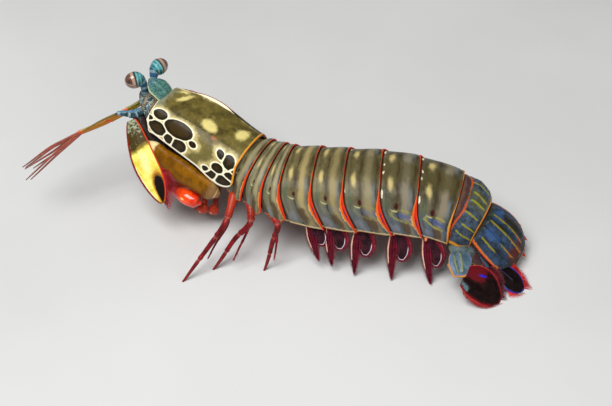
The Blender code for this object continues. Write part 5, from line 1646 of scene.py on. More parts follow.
@dataclass(frozen=True)
class Striker:
    """The folded striking limb of one side in its four parts."""

    side: Side
    upper: Knots = (
        (-3.2, 11.6, -5.4, 1.4, 2.0), (-4.2, 11.9, -5.2, 2.1, 3.6), (-8.0, 12.1, -4.9, 2.5, 4.4),
        (-14.0, 12.0, -4.9, 2.8, 5.0),
        (-21.0, 11.6, -5.7, 2.8, 5.5), (-27.0, 11.1, -5.7, 2.5, 4.9), (-31.0, 10.7, -5.4, 2.2, 3.9),
        (-33.0, 10.4, -5.2, 1.3, 2.2))
    knuckle: Knots = (
        (-32.0, 10.4, -6.6, 1.9, 1.9), (-34.6, 10.4, -8.2, 2.4, 2.4), (-34.4, 10.4, -11.2, 2.0, 2.0))
    fore: Knots = (
        (-34.4, 10.6, -13.0, 1.3, 1.6), (-33.0, 10.7, -13.6, 1.7, 2.2), (-27.0, 10.9, -14.0, 1.9, 2.3),
        (-19.0, 11.1, -13.9, 1.8, 2.0), (-13.5, 11.4, -13.4, 1.5, 1.6), (-11.4, 11.6, -13.2, 0.9, 1.0))
    heel: Knots = (
        (-7.3, 13.5, -12.4, 0.9, 0.9), (-7.8, 13.6, -12.4, 1.9, 1.8), (-9.2, 13.7, -12.4, 2.8, 2.6),
        (-11.6, 13.8, -12.7, 3.1, 2.9), (-14.4, 13.7, -13.2, 2.6, 2.4),
        (-17.6, 13.3, -14.4, 1.6, 1.5), (-21.4, 12.9, -15.7, 1.0, 0.9), (-26.0, 12.2, -16.4, 0.75, 0.7),
        (-30.0, 11.8, -16.0, 0.35, 0.35))
    mustard: Finish = Finish("merus_shell", (0.15, 0.055, 0.001), (0.29, 0.115, 0.001), (
        Mark("low", 0.1, 0.9, (0.16, 0.045, 0.004), 0.8, 0.2, 0.5),
        Mark("front", 0.25, 0.8, (0.90, 0.74, 0.36), 0.9, 0.2, 0.6),
        Mark("streak", 0.35, 0.8, (0.92, 0.85, 0.66), 0.85, 0.12),
        Mark("rear", 0.2, 1.0, (0.38, 0.22, 0.09), 0.75, 0.2),
        Mark("rim", 0.5, 0.85, (0.86, 0.62, 0.30), 0.9, 0.12),
        Mark("redge", 0.35, 0.7, (0.62, 0.06, 0.01), 0.95, 0.15)),
        cloud=0.25, fleck=0.3, rough=0.46, coat=0.05, shine=0.08, grain=0.12, grain_scale=1.6)
    brown: Finish = Finish("carpus_shell", (0.12, 0.03, 0.01), (0.34, 0.14, 0.03), (
        Mark("glint", 0.7, 1.0, (0.72, 0.48, 0.2), 0.6, 0.2),), cloud=0.5, rough=0.36, coat=0.2, grain=0.2)
    red: Finish = Finish("propodus_shell", (0.20, 0.010, 0.004), (0.46, 0.030, 0.008), (
        Mark("glint", 0.75, 1.0, (0.85, 0.10, 0.015), 0.7, 0.2),
        Mark("pins", 0.5, 0.8, (0.62, 0.25, 0.12), 0.8, 0.1)),
        cloud=0.35, fleck=0.35, rough=0.34, coat=0.22, grain=0.15)
    scarlet: Finish = Finish("dactyl_shell", (0.62, 0.015, 0.004), (0.90, 0.06, 0.008), (
        # gold: painted highlight, a brighter upper side on the heel's bulb
        Mark("gold", 0.3, 0.95, (0.95, 0.09, 0.008), 0.7, 0.2, 0.8),
        # cheek: painted glint, a small cream spot on the heel's bulb
        Mark("cheek", 0.5, 0.9, (0.98, 0.72, 0.25), 0.75, 0.12),
        Mark("blade", 0.3, 0.9, (0.42, 0.012, 0.01), 0.8, 0.1)),
        cloud=0.4, fleck=0.12, rough=0.16, coat=1.0, grain=0.06)

    def limb(self, table: Knots, count: int, sides: int, steps: int = 5) -> Part:
        """One part of the limb.

        Args:
            table: Its knots along the body: place, half width and half height.
            count: Rings along it.
            sides: Points around it.
            steps: Rings that round each end.

        Returns:
            The mesh.
        """
        s = np.array([row[0] for row in table])
        rows = [(*at(s0, y * self.side.value, z), a, b) for s0, y, z, a, b in table]
        up = LINE.axes(s)[2]
        return tube(rows, count, sides, up.mean(0), steps)

    def dress(self) -> None:
        """Make the four parts."""
        word = self.side.word
        merus = self.limb(self.upper, 130, 70)
        run, turn = merus["run"], merus["turn"]
        merus.marks.update(
            {"low": ramp(turn, 0.1, -0.8), "front": ramp(run, 0.80, 0.93) * ramp(turn, -0.3, 0.6),
             "rear": ramp(run, 0.16, 0.02), "streak": hill(run, 0.82, 0.055)
             * hill(turn + 0.24 + (run - 0.8) * 2.0, 0.0, 0.14), "rim": hill(run, 0.012, 0.014)
             + hill(turn, -0.99, 0.02) * ramp(run, 0.3, 0.1) * 0.4, "redge": hill(turn, -0.66, 0.06)
             * ramp(run, 0.3, 0.5)})
        root = tube([(*at(-6.5, 7.0 * self.side.value, -5.5), 2.0),
                     (*at(-4.6, 10.0 * self.side.value, -7.0), 1.9),
                     (*at(-6.0, 12.0 * self.side.value, -6.6), 1.8)], 30, 30)
        piece("raptorial_merus_" + word, [merus, root], self.mustard, "merus_mustard")
        carpus = self.limb(self.knuckle, 50, 44)
        carpus["glint"] = carpus["turn"]
        piece("raptorial_carpus_" + word, [carpus], self.brown, "striker_red")
        shaft = self.limb(self.fore, 120, 50)
        shaft["glint"] = ramp(shaft["turn"], 0.2, 1.0)
        shaft["pins"] = ((np.sin(shaft["run"] * 150) > 0.2) * hill(shaft["turn"], -0.9, 0.08))
        piece("raptorial_propodus_" + word, [shaft], self.red, "striker_red")
        dactyl = self.limb(self.heel, 140, 56, 7)
        run, turn = dactyl["run"], dactyl["turn"]
        dactyl.marks.update(
            # painted highlight over the upper side of the heel's bulb
            {"gold": hill(run, 0.2, 0.11) * ramp(turn, -0.9, 0.2), "blade": ramp(run, 0.38, 0.56),
             # painted glint on the upper side of the heel's bulb
             "cheek": hill(run, 0.22, 0.045) * hill(turn, 0.35, 0.2)})
        piece("raptorial_dactyl_" + word, [dactyl], self.scarlet, "striker_red")


# Slim limbs

CRIMSON = Finish("limb_shell", (0.09, 0.003, 0.005), (0.26, 0.006, 0.012), (
    Mark("top", 0.1, 0.9, (0.50, 0.045, 0.012), 0.8, 0.2),
    Mark("glint", 0.4, 0.9, (0.85, 0.42, 0.32), 0.8, 0.2),
    Mark("joint", 0.5, 0.2, (0.42, 0.09, 0.06), 0.55, 0.15),
    Mark("tip", 0.6, 1.0, (0.22, 0.02, 0.02), 0.7, 0.2)),
    cloud=0.5, fleck=0.35, rough=0.38, coat=0.18, grain=0.2)


@dataclass(frozen=True)
class Maxilliped:
    """One slim mouth limb that ends in a round palm."""

    side: Side
    number: int
    s: float
    y: float
    bend: tuple[float, float]

    def dress(self) -> None:
        """Make the limb."""
        sign, s, y = self.side.value, self.s, self.y
        a, b = self.bend
        stem = tube([(*at(s, y * sign, -4.6), 1.2), (*at(s - 1.6, (y + 1.2) * sign, -9.0), 1.05),
                     (*at(s + a * 0.4 - 0.5, (y + b * 0.45) * sign, -13.0), 0.95),
                     (*at(s + a * 0.9, (y + b * 0.85) * sign, -15.4), 1.0)], 80, 26, knots=(0.35, 0.66),
                     knot_size=0.22)
        run = stem["run"]
        stem["joint"] = np.min(abs(run[:, None] - np.array([0.35, 0.66])), axis=1) * 14
        stem["top"] = ramp(run, 0.5, 1.0)
        s, y = s + a, y + b
        rows = [(*at(s + 0.3, (y - 0.6) * sign, -14.6), 0.9, 0.9, 1.1),
                (*at(s, y * sign, -16.0), 1.95, 1.95, 1.6),
                (*at(s - 0.9, (y + 0.2) * sign, -17.6), 1.9, 1.9, 1.4),
                (*at(s - 2.0, (y + 0.3) * sign, -18.8), 1.2, 1.2, 0.8)]
        facing = LINE.axes(np.array(s))[1]
        palm = leaf(rows, facing, 40, 26, 0.1, 0.45)
        palm.mark(top=0.9, joint=0.3 + palm["edge"],
                  glint=hill(palm["run"], 0.6, 0.12) * hill(palm["across"], -0.2, 0.25))
        hook = tube([(*at(s - 2.0, (y + 0.3) * sign, -18.5), 0.45),
                     (*at(s - 3.2, (y + 0.5) * sign, -17.2), 0.36),
                     (*at(s - 3.0, (y + 0.6) * sign, -15.4), 0.12)], 26, 12)
        name = "maxilliped_%d_%s" % (self.number, self.side.word)
        piece(name, [stem, palm, hook], CRIMSON, "limb_crimson")


@dataclass(frozen=True)
class Leg:
    """One walking leg with its slim second branch and a brush at each end."""

    side: Side
    number: int
    root: Point
    main: tuple[Point, ...]
    twig: tuple[Point, ...]

    def mirrored(self, p: Point) -> Array:
        """Mirror a point for the right side.

        Args:
            p: The point on the left.

        Returns:
            The point of this leg's side.
        """
        if self.side is Side.LEFT:
            return np.array(p)
        left = LINE.axes(np.array(self.root[0]))[1] * np.array([1.0, 1.0, 0.0])
        left = unit(left)
        away = np.array(p) - at(self.root[0], 0.0, 0.0)
        return np.array(p) - left * (2 * (away @ left))

    def dress(self) -> None:
        """Make the leg."""
        start = at(self.root[0], self.root[1] * self.side.value, self.root[2])
        pts = [self.mirrored(p) for p in self.main]
        side = [self.mirrored(p) for p in self.twig]
        line = np.array([start, *pts])
        lengths = np.linalg.norm(np.diff(line, axis=0), axis=1)
        knots = tuple(np.cumsum(lengths)[:-1] / lengths.sum())
        line[-1] = line[-2] + (line[-1] - line[-2]) * 0.96
        rows = [(*p, r) for p, r in zip(line, (1.1, 1.15, 0.9, 0.72, 0.4))]
        rows[1:1] = [(*blend(line[0], line[1], k), r) for k, r in ((0.12, 1.75), (0.3, 1.7), (0.55, 1.4))]
        leg = tube(rows, 130, 24, knots=knots, knot_size=0.24)
        run = leg["run"]
        leg["joint"] = np.min(abs(run[:, None] - np.array(knots)), axis=1) * lengths.sum()
        leg["top"] = ramp(run, 0.5, 0.0) * (1.0 if self.number == 1 else 0.6)
        leg["tip"] = run
        base = pts[0] + (start - pts[0]) * 0.2
        twig = tube([(*base, 0.6), (*side[0], 0.5), (*side[1], 0.42), (*side[2], 0.24)], 70, 16,
                    knots=(0.6,), knot_size=0.2)
        twig.mark(joint=FAR, tip=twig["run"])
        name = "leg_%d_%s" % (self.number, self.side.word)
        piece(name, [leg, twig], CRIMSON, "limb_crimson")
        chance = np.random.default_rng(self.number * 7 + self.side.value)
        brushes = []
        for path, first, last, count, size in (
            (side, 0.72, 1.0, 60, 1.8), ([pts[1], pts[2], pts[3]], 0.45, 0.93, 44, 1.1)):
            share = blend(first, last, chance.uniform(0, 1, count))
            full = spline([(*p, 0.0) for p in path], share)[:, :3]
            along = unit(path[-1] - path[-2])
            way = along + chance.normal(0, 0.3, (count, 3))
            end = full + unit(way) * size
            way[:, 2] += np.maximum(0.2 - end[:, 2], 0)
            places = np.stack([share, chance.uniform(0.1, 0.9, count)], -1)
            brushes.append(bristles(full, way, chance.uniform(0.6, 1.0, count) * size, 0.05, places))
        piece(name + "_brush", brushes, HAIR_RED, "limb_crimson", extra=True)


@dataclass(frozen=True)
class Swimmeret:
    """One swimmeret: a broad stalk with a long narrow leaf and a round one."""

    side: Side
    number: int
    s: float
    reach: float
    lean: float
    stalk: Finish = Finish("swimmeret_stalk", (0.13, 0.012, 0.015), (0.34, 0.05, 0.03), (
        Mark("rim", 0.55, 0.9, (0.82, 0.55, 0.34), 0.85, 0.15),
        Mark("rim", 0.3, 0.6, (0.72, 0.14, 0.03), 0.6, 0.1)),
        cloud=0.5, rough=0.44, coat=0.13, grain=0.25)
    outer: Finish = Finish("swimmeret_leaf", (0.030, 0.002, 0.006), (0.12, 0.006, 0.016), (
        Mark("keel", 0.4, 0.12, (0.14, 0.010, 0.025), 0.6, 0.1),
        Mark("pale", 0.2, 0.6, (0.82, 0.50, 0.36), 0.95, 0.2),
        Mark("edge", 0.3, 0.08, (0.30, 0.02, 0.05), 0.7, 0.1)),
        cloud=0.5, fleck=0.5, rough=0.5, coat=0.02, shine=0.04, grain=0.35, grain_scale=2.0)
    inner: Finish = Finish("swimmeret_window", (0.018, 0.006, 0.010), (0.055, 0.012, 0.020), (
        Mark("edge", 1.25, 0.95, (0.16, 0.008, 0.02), 1.0, 0.2),
        Mark("arc", 0.4, 0.75, (0.78, 0.70, 0.80), 0.95, 0.1),
        Mark("edge", 0.3, 0.05, (0.45, 0.06, 0.08), 0.7, 0.1)),
        cloud=0.4, fleck=0.4, rough=0.4, coat=0.06, shine=0.06, grain=0.2)

    def dress(self) -> None:
        """Make the stalk, leaves and fringes."""
        sign, r = self.side.value, self.reach
        tail, left, _ = LINE.axes(np.array(self.s))
        out = unit(np.array([left[0] * sign, left[1] * sign, 0.0]))
        root = at(self.s, 10.4 * sign, 2.6)
        knee = root + np.array([0, 0, -4.8]) + out * 2.4
        drop = min(15.6 * r, knee[2] - 0.5)
        stalk = tube([(*root, 2.0, 1.05), (*((root + knee) / 2), 2.3, 1.2), (*knee, 2.0, 1.0)], 50, 40,
                     tail)
        flank = abs(np.sqrt(np.maximum(1 - stalk["turn"] ** 2, 0)))
        stalk["rim"] = flank ** 6
        name = "pleopod_%d_%s" % (self.number, self.side.word)
        piece(name, [stalk], self.stalk, "swimmeret_maroon")
        for kind, lead, fall, swing, wide in (
            ("leaf", -0.5, drop, 6.4 * r, 1.7), ("window", 2.6, drop * 0.62, 3.6 * r, 3.3)):
            tip = (knee - UP * fall + out * swing
                   + tail * (lead + 0.4 + self.lean * (1.0 if lead < 0 else 0.45)))
            start = knee + UP * 0.8 + tail * (lead * 0.35)
            facing = unit(out * 0.72 + UP * 0.55 + tail * (-0.25 if lead < 0 else -0.1))
            widths = (
                (0.0, 0.62 * wide, 0.62 * wide), (0.3, 0.95 * wide, 0.95 * wide), (0.65, wide, wide),
                (1.0, 0.82 * wide, 0.82 * wide))
            keels = ((Keel(0.1, 0.2, 0.16, 0.0, 0.9), Keel(-0.45, 0.15, 0.1, 0.1, 0.8)) if kind == "leaf"
                     else ())
            blade = Blade(
                start, tip, facing, widths, (0.85, 0.5), 0.35, tail * lead * 0.35, 0.05,
                0.5 if kind == "window" else 0.3, 2.0 if kind == "window" else 1.6, keels, 0.08)
            part = blade.mesh(70, 36)
            edge, run, across = part["edge"], part["run"], part["across"]
            part["arc"] = hill(edge, 1.15, 0.16) * ramp(run, 0.35, 0.6)
            part["pale"] = hill(edge, 0.4, 0.3) * ramp(across * sign, 0.2, 0.5) * ramp(run, 0.8, 0.5)
            piece("%s_%s" % (name, kind), [part], self.outer if kind == "leaf" else self.inner,
                  "swimmeret_maroon", extra=True)
            size = 2.0 if kind == "leaf" else 1.7
            fringe = blade.fringe(0.25, 0.99, 90, size, 0.045, self.number * 11 + len(kind), spread=0.6)
            piece("%s_%s_fringe" % (name, kind), [fringe], HAIR_DARK, "swimmeret_maroon", extra=True)


# Tail fan

@dataclass(frozen=True)
class Telson:
    """The tail plate with its keels and the teeth of its rear edge."""

    length: float = 19.6
    widths: Knots = (
        (0.0, 8.9, 2.6), (0.06, 9.4, 2.8), (0.2, 10.2, 2.8), (0.4, 10.8, 2.6), (0.6, 10.7, 2.3),
        (0.78, 9.7, 1.9), (0.9, 8.2, 1.5), (0.97, 6.6, 1.2), (1.0, 5.2, 1.0))
    teeth: Knots = ((0.62, 10.4, 0.35, 0.7), (0.85, 8.5, 0.18, 0.85), (1.0, 3.4, 0.03, 0.85))
    keels: tuple[Keel, ...] = (
        Keel(0.0, 1.15, 0.95, 0.04, 0.9), Keel(0.34, 0.6, 0.5, 0.05, 0.82, 0.05),
        Keel(-0.34, 0.6, 0.5, 0.05, 0.82, -0.05),
        Keel(0.68, 0.55, 0.45, 0.08, 0.8, 0.03), Keel(-0.68, 0.55, 0.45, 0.08, 0.8, -0.03))
    paint: Finish = Finish("telson_shell", (0.013, 0.022, 0.036), (0.026, 0.060, 0.13), (
        Mark("pool", 0.2, 0.9, (0.034, 0.085, 0.21), 0.85, 0.3, 0.6),
        Mark("shadow", 0.2, 0.8, (0.018, 0.015, 0.006), 0.95, 0.35, 0.5),
        Mark("ember", 0.25, 0.8, (0.085, 0.012, 0.007), 0.85, 0.3, 0.6),
        Mark("fore", 0.10, 0.0, (0.12, 0.12, 0.04), 0.6, 0.05),
        Mark("keel", 0.5, 0.16, (0.22, 0.19, 0.010), 1.0, 0.2, 1.0),
        Mark("crest", 0.3, 0.9, (0.45, 0.085, 0.010), 1.0, 0.2, 0.8),
        Mark("edge", 0.8, 0.5, (0.50, 0.17, 0.015), 0.9, 0.2),
        Mark("edge", 0.4, 0.15, (0.62, 0.05, 0.010), 1.0, 0.1),
        Mark("tooth", 0.1, 0.7, (0.42, 0.045, 0.01), 1.0),
        Mark("tooth", 0.75, 1.0, (0.70, 0.30, 0.08), 0.8)),
        cloud=0.3, fleck=0.4, rough=0.4, coat=0.1, grain=0.25, pits=0.06)

    def dress(self) -> None:
        """Make the tail plate."""
        tail, left, up = LINE.axes(np.array(90.0))
        base = at(83.05, 0, 0) + LINE.axes(np.array(83.05))[2] * 3.2 + tail * 0.2
        rows = [(*(base + tail * (self.length * t) + up * math.sin(math.pi * t)), w, w, thick)
                for t, w, thick in self.widths]
        plate = leaf(rows, up, 150, 110, 0.05, 0.93, self.keels, 0.5, power=2.5)
        run, across, keel = (plate[k] for k in ("run", "across", "keel"))
        hide = (hill(across, -0.72, 0.14) + hill(across, 0.37, 0.13) * ramp(run, 0.5, 0.35)
                + hill(across, 0.71, 0.13) * ramp(run, 0.42, 0.6))
        keel = keel + 1.2 * hide
        plate["keel"] = keel
        plate["crest"] = hill(keel, 0.0, 0.32) * ramp(run, 0.3, 0.75)
        plate["pool"] = (
            (hill(run, 0.26, 0.2) * hill(across, 0.36, 0.22) + hill(run, 0.2, 0.14)
             * hill(across, -0.55, 0.2)))
        plate["fore"] = run
        flank = blend(1.0, 0.45, ramp(across, -0.2, 0.2))
        patch = hill(run, 0.52, 0.27) * hill(abs(across), 0.62, 0.2) * flank
        core = hill(run, 0.36, 0.22) * hill(across, -0.12, 0.12)
        far = hill(run, 0.92, 0.22) * hill(across, 0.0, 1.1)
        plate["shadow"] = np.maximum(np.maximum(patch, core * 0.8), far)
        plate["ember"] = hill(run, 0.8, 0.15) * hill(across, 0.05, 0.55)
        parts = [plate]
        small = ([(0.96 + 0.035 * k, 6.6 - 1.5 * k, 0.08, 0.34) for k in range(3)]
                 + [(0.74, 9.5, 0.3, 0.4), (0.68, 10.0, 0.3, 0.4)])
        for t, w, tilt, size in [*self.teeth, *small]:
            for sign in (1, -1):
                root = (
                    (base + tail * (self.length * t - 0.9 * size) + left * (w * 0.94 * sign)
                     + up * (0.8 * math.sin(math.pi * t))))
                way = unit(tail + left * (tilt * sign))
                rows = [
                    (*root, 0.85 * size), (*(root + way * 1.3 * size), 0.72 * size),
                    (*(root + way * 3.5 * size), 0.12 * size)]
                tooth = tube(rows, 24, 20)
                tooth.mark(tooth=0.25 + 0.75 * tooth["run"], keel=FAR, edge=FAR, fore=1.0)
                parts.append(tooth)
        piece("telson", parts, self.paint, "tail_shell")


@dataclass(frozen=True)
class Uropod:
    """One side limb of the tail fan in its four parts.

    The points are the root, the joint of the outer branch, its tip, and the
    start and tip of the inner branch; the ways are how the leaves face.
    """

    side: Side
    root: Array
    joint: Array
    tip: Array
    inner_start: Array
    inner_tip: Array
    facing: Triple
    slim: float = 1.0
    reach: float = 4.6
    slate: Finish = Finish("uropod_base_shell", (0.05, 0.075, 0.085), (0.14, 0.19, 0.19), (
        Mark("dark", 0.1, 0.9, (0.05, 0.010, 0.012), 0.9, 0.2),
        Mark("stripe", 0.55, 0.9, (0.20, 0.19, 0.04), 0.8, 0.25, 0.8),
        Mark("tooth", 0.2, 0.8, (0.26, 0.05, 0.02), 1.0)),
        cloud=0.4, fleck=0.35, rough=0.42, coat=0.08, grain=0.22)
    blue: Finish = Finish("exopod_shell", (0.045, 0.09, 0.13), (0.12, 0.19, 0.22), (
        Mark("edge", 1.0, 0.5, (0.07, 0.16, 0.34), 0.8, 0.2),
        Mark("keel", 0.4, 0.15, (0.24, 0.24, 0.06), 0.7, 0.2),
        Mark("end", 0.90, 0.95, (0.55, 0.20, 0.02), 0.95, 0.02),
        Mark("edge", 0.35, 0.1, (0.60, 0.30, 0.06), 0.7, 0.1),
        Mark("tooth", 0.1, 0.8, (0.60, 0.24, 0.04), 1.0)),
        cloud=0.4, fleck=0.35, rough=0.39, coat=0.2, grain=0.2)
    dusk: Finish = Finish("paddle_shell", (0.005, 0.002, 0.002), (0.016, 0.005, 0.005), (
        Mark("root", 0.2, 0.9, (0.13, 0.006, 0.010), 0.9, 0.3),
        Mark("dawn", 0.2, 0.8, (0.10, 0.17, 0.19), 0.9, 0.2),
        Mark("edge", 1.1, 0.6, (0.12, 0.006, 0.010), 0.95, 0.3),
        Mark("streak", 0.35, 0.8, (0.012, 0.020, 0.62), 1.0, 0.15),
        Mark("edge", 0.32, 0.1, (0.60, 0.08, 0.05), 0.8, 0.1)),
        cloud=0.4, fleck=0.35, rough=0.42, coat=0.03, shine=0.03, grain=0.2)
    night: Finish = Finish("endopod_shell", (0.004, 0.002, 0.002), (0.012, 0.006, 0.006), (
        Mark("edge", 0.8, 0.45, (0.045, 0.035, 0.26), 0.95, 0.12),
        Mark("edge", 0.2, 0.05, (0.30, 0.015, 0.05), 0.8, 0.08),
        Mark("keel", 0.4, 0.15, (0.030, 0.026, 0.05), 0.8, 0.1),
        Mark("root", 0.3, 0.9, (0.10, 0.04, 0.05), 0.6, 0.2),
        Mark("sheen", 0.3, 0.8, (0.030, 0.095, 0.11), 0.85, 0.2)),
        cloud=0.4, fleck=0.3, rough=0.4, coat=0.03, shine=0.03, grain=0.15)

    def thorn(self, root: Array, way: Array, radius: float, length: float) -> Part:
        """A tapered spine.

        Args:
            root: Where it starts.
            way: Where it points.
            radius: Its half width at the root.
            length: Its length.

        Returns:
            The mesh.
        """
        rows = [(*root, radius), (*(root + way * length * 0.4), radius * 0.82),
                (*(root + way * length), radius * 0.16)]
        spine = tube(rows, 22, 16)
        spine.mark(tooth=0.25 + 0.75 * spine["run"], edge=FAR, keel=FAR)
        return spine

    def foot(self, run: Array, knuckle: Array) -> None:
        """Make the base with its forked prong.

        Args:
            run: The way it points.
            knuckle: Where the outer branch is hinged.
        """
        slim, (first, _, third) = self.slim, (unit(f) for f in self.facing)
        base = tube([(*self.root, 3.0 * slim, 1.65 * slim),
                     (*((self.root + knuckle) / 2), 3.3 * slim, 1.8 * slim),
                     (*(knuckle - run * 0.4), 2.9 * slim, 1.6 * slim)], 60, 56, first)
        base["stripe"] = abs(np.sin(base["turn"] * 2.4 + base["run"] * 1.5)) ** 4
        start = blend(knuckle, self.inner_start, 0.42) - run * 0.6
        way = unit(self.inner_tip - self.inner_start + run * 3.0)
        prong = Blade(
            start - way * 2.4, start + way * 6.4 * slim, third,
            ((0.0, 2.3, 2.3), (0.3, 2.5, 2.5), (0.7, 2.1, 2.1), (1.0, 1.7, 1.7)), (1.8, 0.9), 0.3,
            rounding=0.7, power=2.4, size=slim).mesh(50, 36)
        prong.marks.update(
            {"dark": ramp(prong["run"], 0.15, 0.7), "stripe": hill(prong["edge"], 0.2, 0.25)})
        across = unit(np.cross(way, third)) * slim
        fork = start + way * 4.6 * slim
        thorns = [self.thorn(fork + across * k, unit(way + across * 0.12 * k), 0.6 * slim, size * slim)
                  for k, size in ((1.3, 4.4), (-1.1, 3.4))]
        piece("uropod_base_" + self.side.word, [base, prong, *thorns], self.slate, "fan_blue")

    def outer(self, run: Array, knuckle: Array) -> None:
        """Make the outer segment with its row of spines.

        Args:
            run: The way the base points.
            knuckle: Where it is hinged.
        """
        slim, first = self.slim, unit(self.facing[0])
        table = ((0.0, 3.0, 3.0), (0.12, 3.7, 3.5), (0.45, 3.6, 4.0), (0.8, 2.6, 3.1), (1.0, 2.0, 2.3))
        plate = Blade(
            knuckle + run * 0.2, self.joint, first, table, (2.0, 1.3), 0.4, rounding=0.86, power=3.2,
            keels=(Keel(0.0, 0.5, 0.4, 0.05, 0.85), Keel(0.55, 0.4, 0.3, 0.1, 0.85)), size=slim)
        part = plate.mesh(90, 60)
        part["end"] = part["run"]
        spines = []
        side = unit(np.cross(run, first))
        sign = self.side.value
        for k in range(9):
            t = 0.42 + 0.055 * k
            edge = knuckle + (self.joint - knuckle) * t + side * (sign * blend(4.0, 2.5, k / 8) * slim)
            spines.append(
                self.thorn(edge, unit(run * 1.4 + side * sign * 0.6), 0.34 * slim, (1.0 + 0.07 * k) * slim))
        piece("uropod_exopod_" + self.side.word, [part, *spines], self.blue, "fan_blue")

    def paddle(self) -> None:
        """Make the paddle and its two fringes."""
        word, slim, long = self.side.word, self.slim, blend(0.8, 1.0, self.slim)
        table = ((0.0, 4.8, 2.9), (0.12, 6.2, 3.9), (0.4, 7.2, 4.6), (0.7, 6.8, 4.6), (1.0, 5.3, 3.9))
        blade = Blade(
            self.joint + (self.tip - self.joint) * 0.03, self.tip, unit(self.facing[1]), table, (1.2, 0.8),
            0.3, rounding=0.42, power=2.0, keels=(Keel(0.1, 0.35, 0.3, 0.0, 0.7),), size=slim)
        part = blade.mesh(100, 64)
        t, across = part["run"], part["across"]
        part["streak"] = hill(t, 0.34, 0.11) * hill(across + 0.64 + (t - 0.27) * 0.6, 0.0, 0.09)
        part["root"] = ramp(t, 0.6, 0.25) * ramp(across, 0.1, -0.5)
        part["dawn"] = ramp(t, 0.26, 0.12) * ramp(across, 0.1, 0.5)
        piece("uropod_paddle_" + word, [part], self.dusk, "fan_dark")
        fringes = [blade.fringe(0.1, 0.995, 240, 2.4 * long, 0.05, 21 + self.side.value, (1,), 0.75)]
        piece("uropod_paddle_%s_fringe" % word, fringes, HAIR_RED, "fan_dark", extra=True)
        fringes = [blade.fringe(0.35, 0.995, 260, 3.6 * long, 0.055, 24 + self.side.value, (-1,), 0.7)]
        piece("uropod_paddle_%s_inner_fringe" % word, fringes, HAIR_DARK, "fan_dark", extra=True)

    def inner(self) -> None:
        """Make the inner leaf and its fringe."""
        word, slim, long = self.side.word, self.slim, blend(0.8, 1.0, self.slim)
        table = ((0.0, 1.3), (0.12, 1.9), (0.35, 3.0), (0.6, 4.1), (0.8, 4.6), (1.0, 4.6))
        blade = Blade(
            self.inner_start, self.inner_tip, unit(self.facing[2]), tuple((t, w, w) for t, w in table),
            (1.2, 0.8), 0.4, rounding=0.55, power=2.0, keels=(Keel(0.0, 0.35, 0.35, 0.0, 0.75),), size=slim)
        part = blade.mesh(110, 64)
        part["root"] = ramp(part["run"], 0.35, 0.05)
        part["sheen"] = (
            hill(part["edge"], 0.5, 0.35) * ramp(part["across"], 0.1, 0.5) * ramp(part["run"], 0.85, 0.6))
        piece("uropod_endopod_" + word, [part], self.night, "fan_dark")
        near = blade.fringe(0.14, 0.995, 340, 4.2 * long, 0.055, 31 + self.side.value, (-1,), 0.75)
        far = blade.fringe(0.75, 0.995, 70, 2.4 * long, 0.05, 34 + self.side.value, (1,), 0.6)
        piece("uropod_endopod_%s_fringe" % word, [near, far], HAIR_BRIGHT, "fan_dark", extra=True)

    def dress(self) -> None:
        """Make the four parts."""
        run = unit(self.joint - self.root)
        knuckle = self.root + run * self.reach
        self.foot(run, knuckle)
        self.outer(run, knuckle)
        self.paddle()
        self.inner()


# Studio

@dataclass(frozen=True)
class Studio:
    """The pale floor, the soft lights and the camera."""

    target: Vector = Vector((0.01143, -0.01534, 0.025))
    distance: float = 0.338
    elevation: float = 44.0
    lens: float = 60.0
    sensor: float = 36.0
    floor_reach: float = 3.0
    sky: Colour = (0.80, 0.82, 0.84)
    sky_power: float = 0.2

    def floor(self) -> None:
        """Lay the floor, a wide plane with a faint mottle."""
        size = self.floor_reach
        mesh = bpy.data.meshes.new("floor")
        mesh.from_pydata(
            [(-size, -size, 0), (size, -size, 0), (size, size, 0), (-size, size, 0)], [], [(0, 1, 2, 3)])
        paint = Finish(
            "floor_paint", (0.60, 0.60, 0.59), (0.66, 0.66, 0.65), cloud=0.004, fleck=0.03, rough=0.7,
            coat=0, grain=0.05)
        mesh.materials.append(paint.make())
        obj = bpy.data.objects.new("floor", mesh)
        bpy.context.scene.collection.objects.link(obj)

    def lamp(self, name: str, place: Point, size: float, power: float,
             tint: Colour = (1.0, 1.0, 1.0)) -> None:
        """Hang one soft square light that faces the model.

        Args:
            name: The light's name.
            place: Where it hangs, in metres.
            size: Its width.
            power: Its strength in watts.
            tint: Its colour.
        """
        light = bpy.data.lights.new(name, "AREA")
        light.size, light.energy, light.color = size, power, tint
        obj = bpy.data.objects.new(name, light)
        obj.location = place
        obj.rotation_euler = (self.target - obj.location).to_track_quat("-Z", "Y").to_euler()
        bpy.context.scene.collection.objects.link(obj)

    def build(self) -> None:
        """Set the floor, lights, surroundings and camera."""
        self.floor()
        self.lamp("key", (-0.25, -0.25, 0.80), 0.55, 8.6)
        self.lamp("fill", (0.60, -0.50, 0.40), 0.7, 2.0)
        scene = bpy.context.scene
        world = bpy.data.worlds.new("surroundings")
        world.use_nodes = True
        sky = world.node_tree.nodes["Background"]
        sky.inputs["Color"].default_value = (*self.sky, 1.0)
        sky.inputs["Strength"].default_value = self.sky_power
        scene.world = world
        scene.view_settings.view_transform = "Standard"
        camera = bpy.data.cameras.new("camera")
        camera.lens, camera.sensor_width, camera.clip_start = self.lens, self.sensor, 0.01
        obj = bpy.data.objects.new("camera", camera)
        rise = math.radians(self.elevation)
        obj.location = self.target + Vector((0, -math.cos(rise), math.sin(rise))) * self.distance
        obj.rotation_euler = (self.target - obj.location).to_track_quat("-Z", "Y").to_euler()
        scene.collection.objects.link(obj)
        scene.camera = obj


# Animal

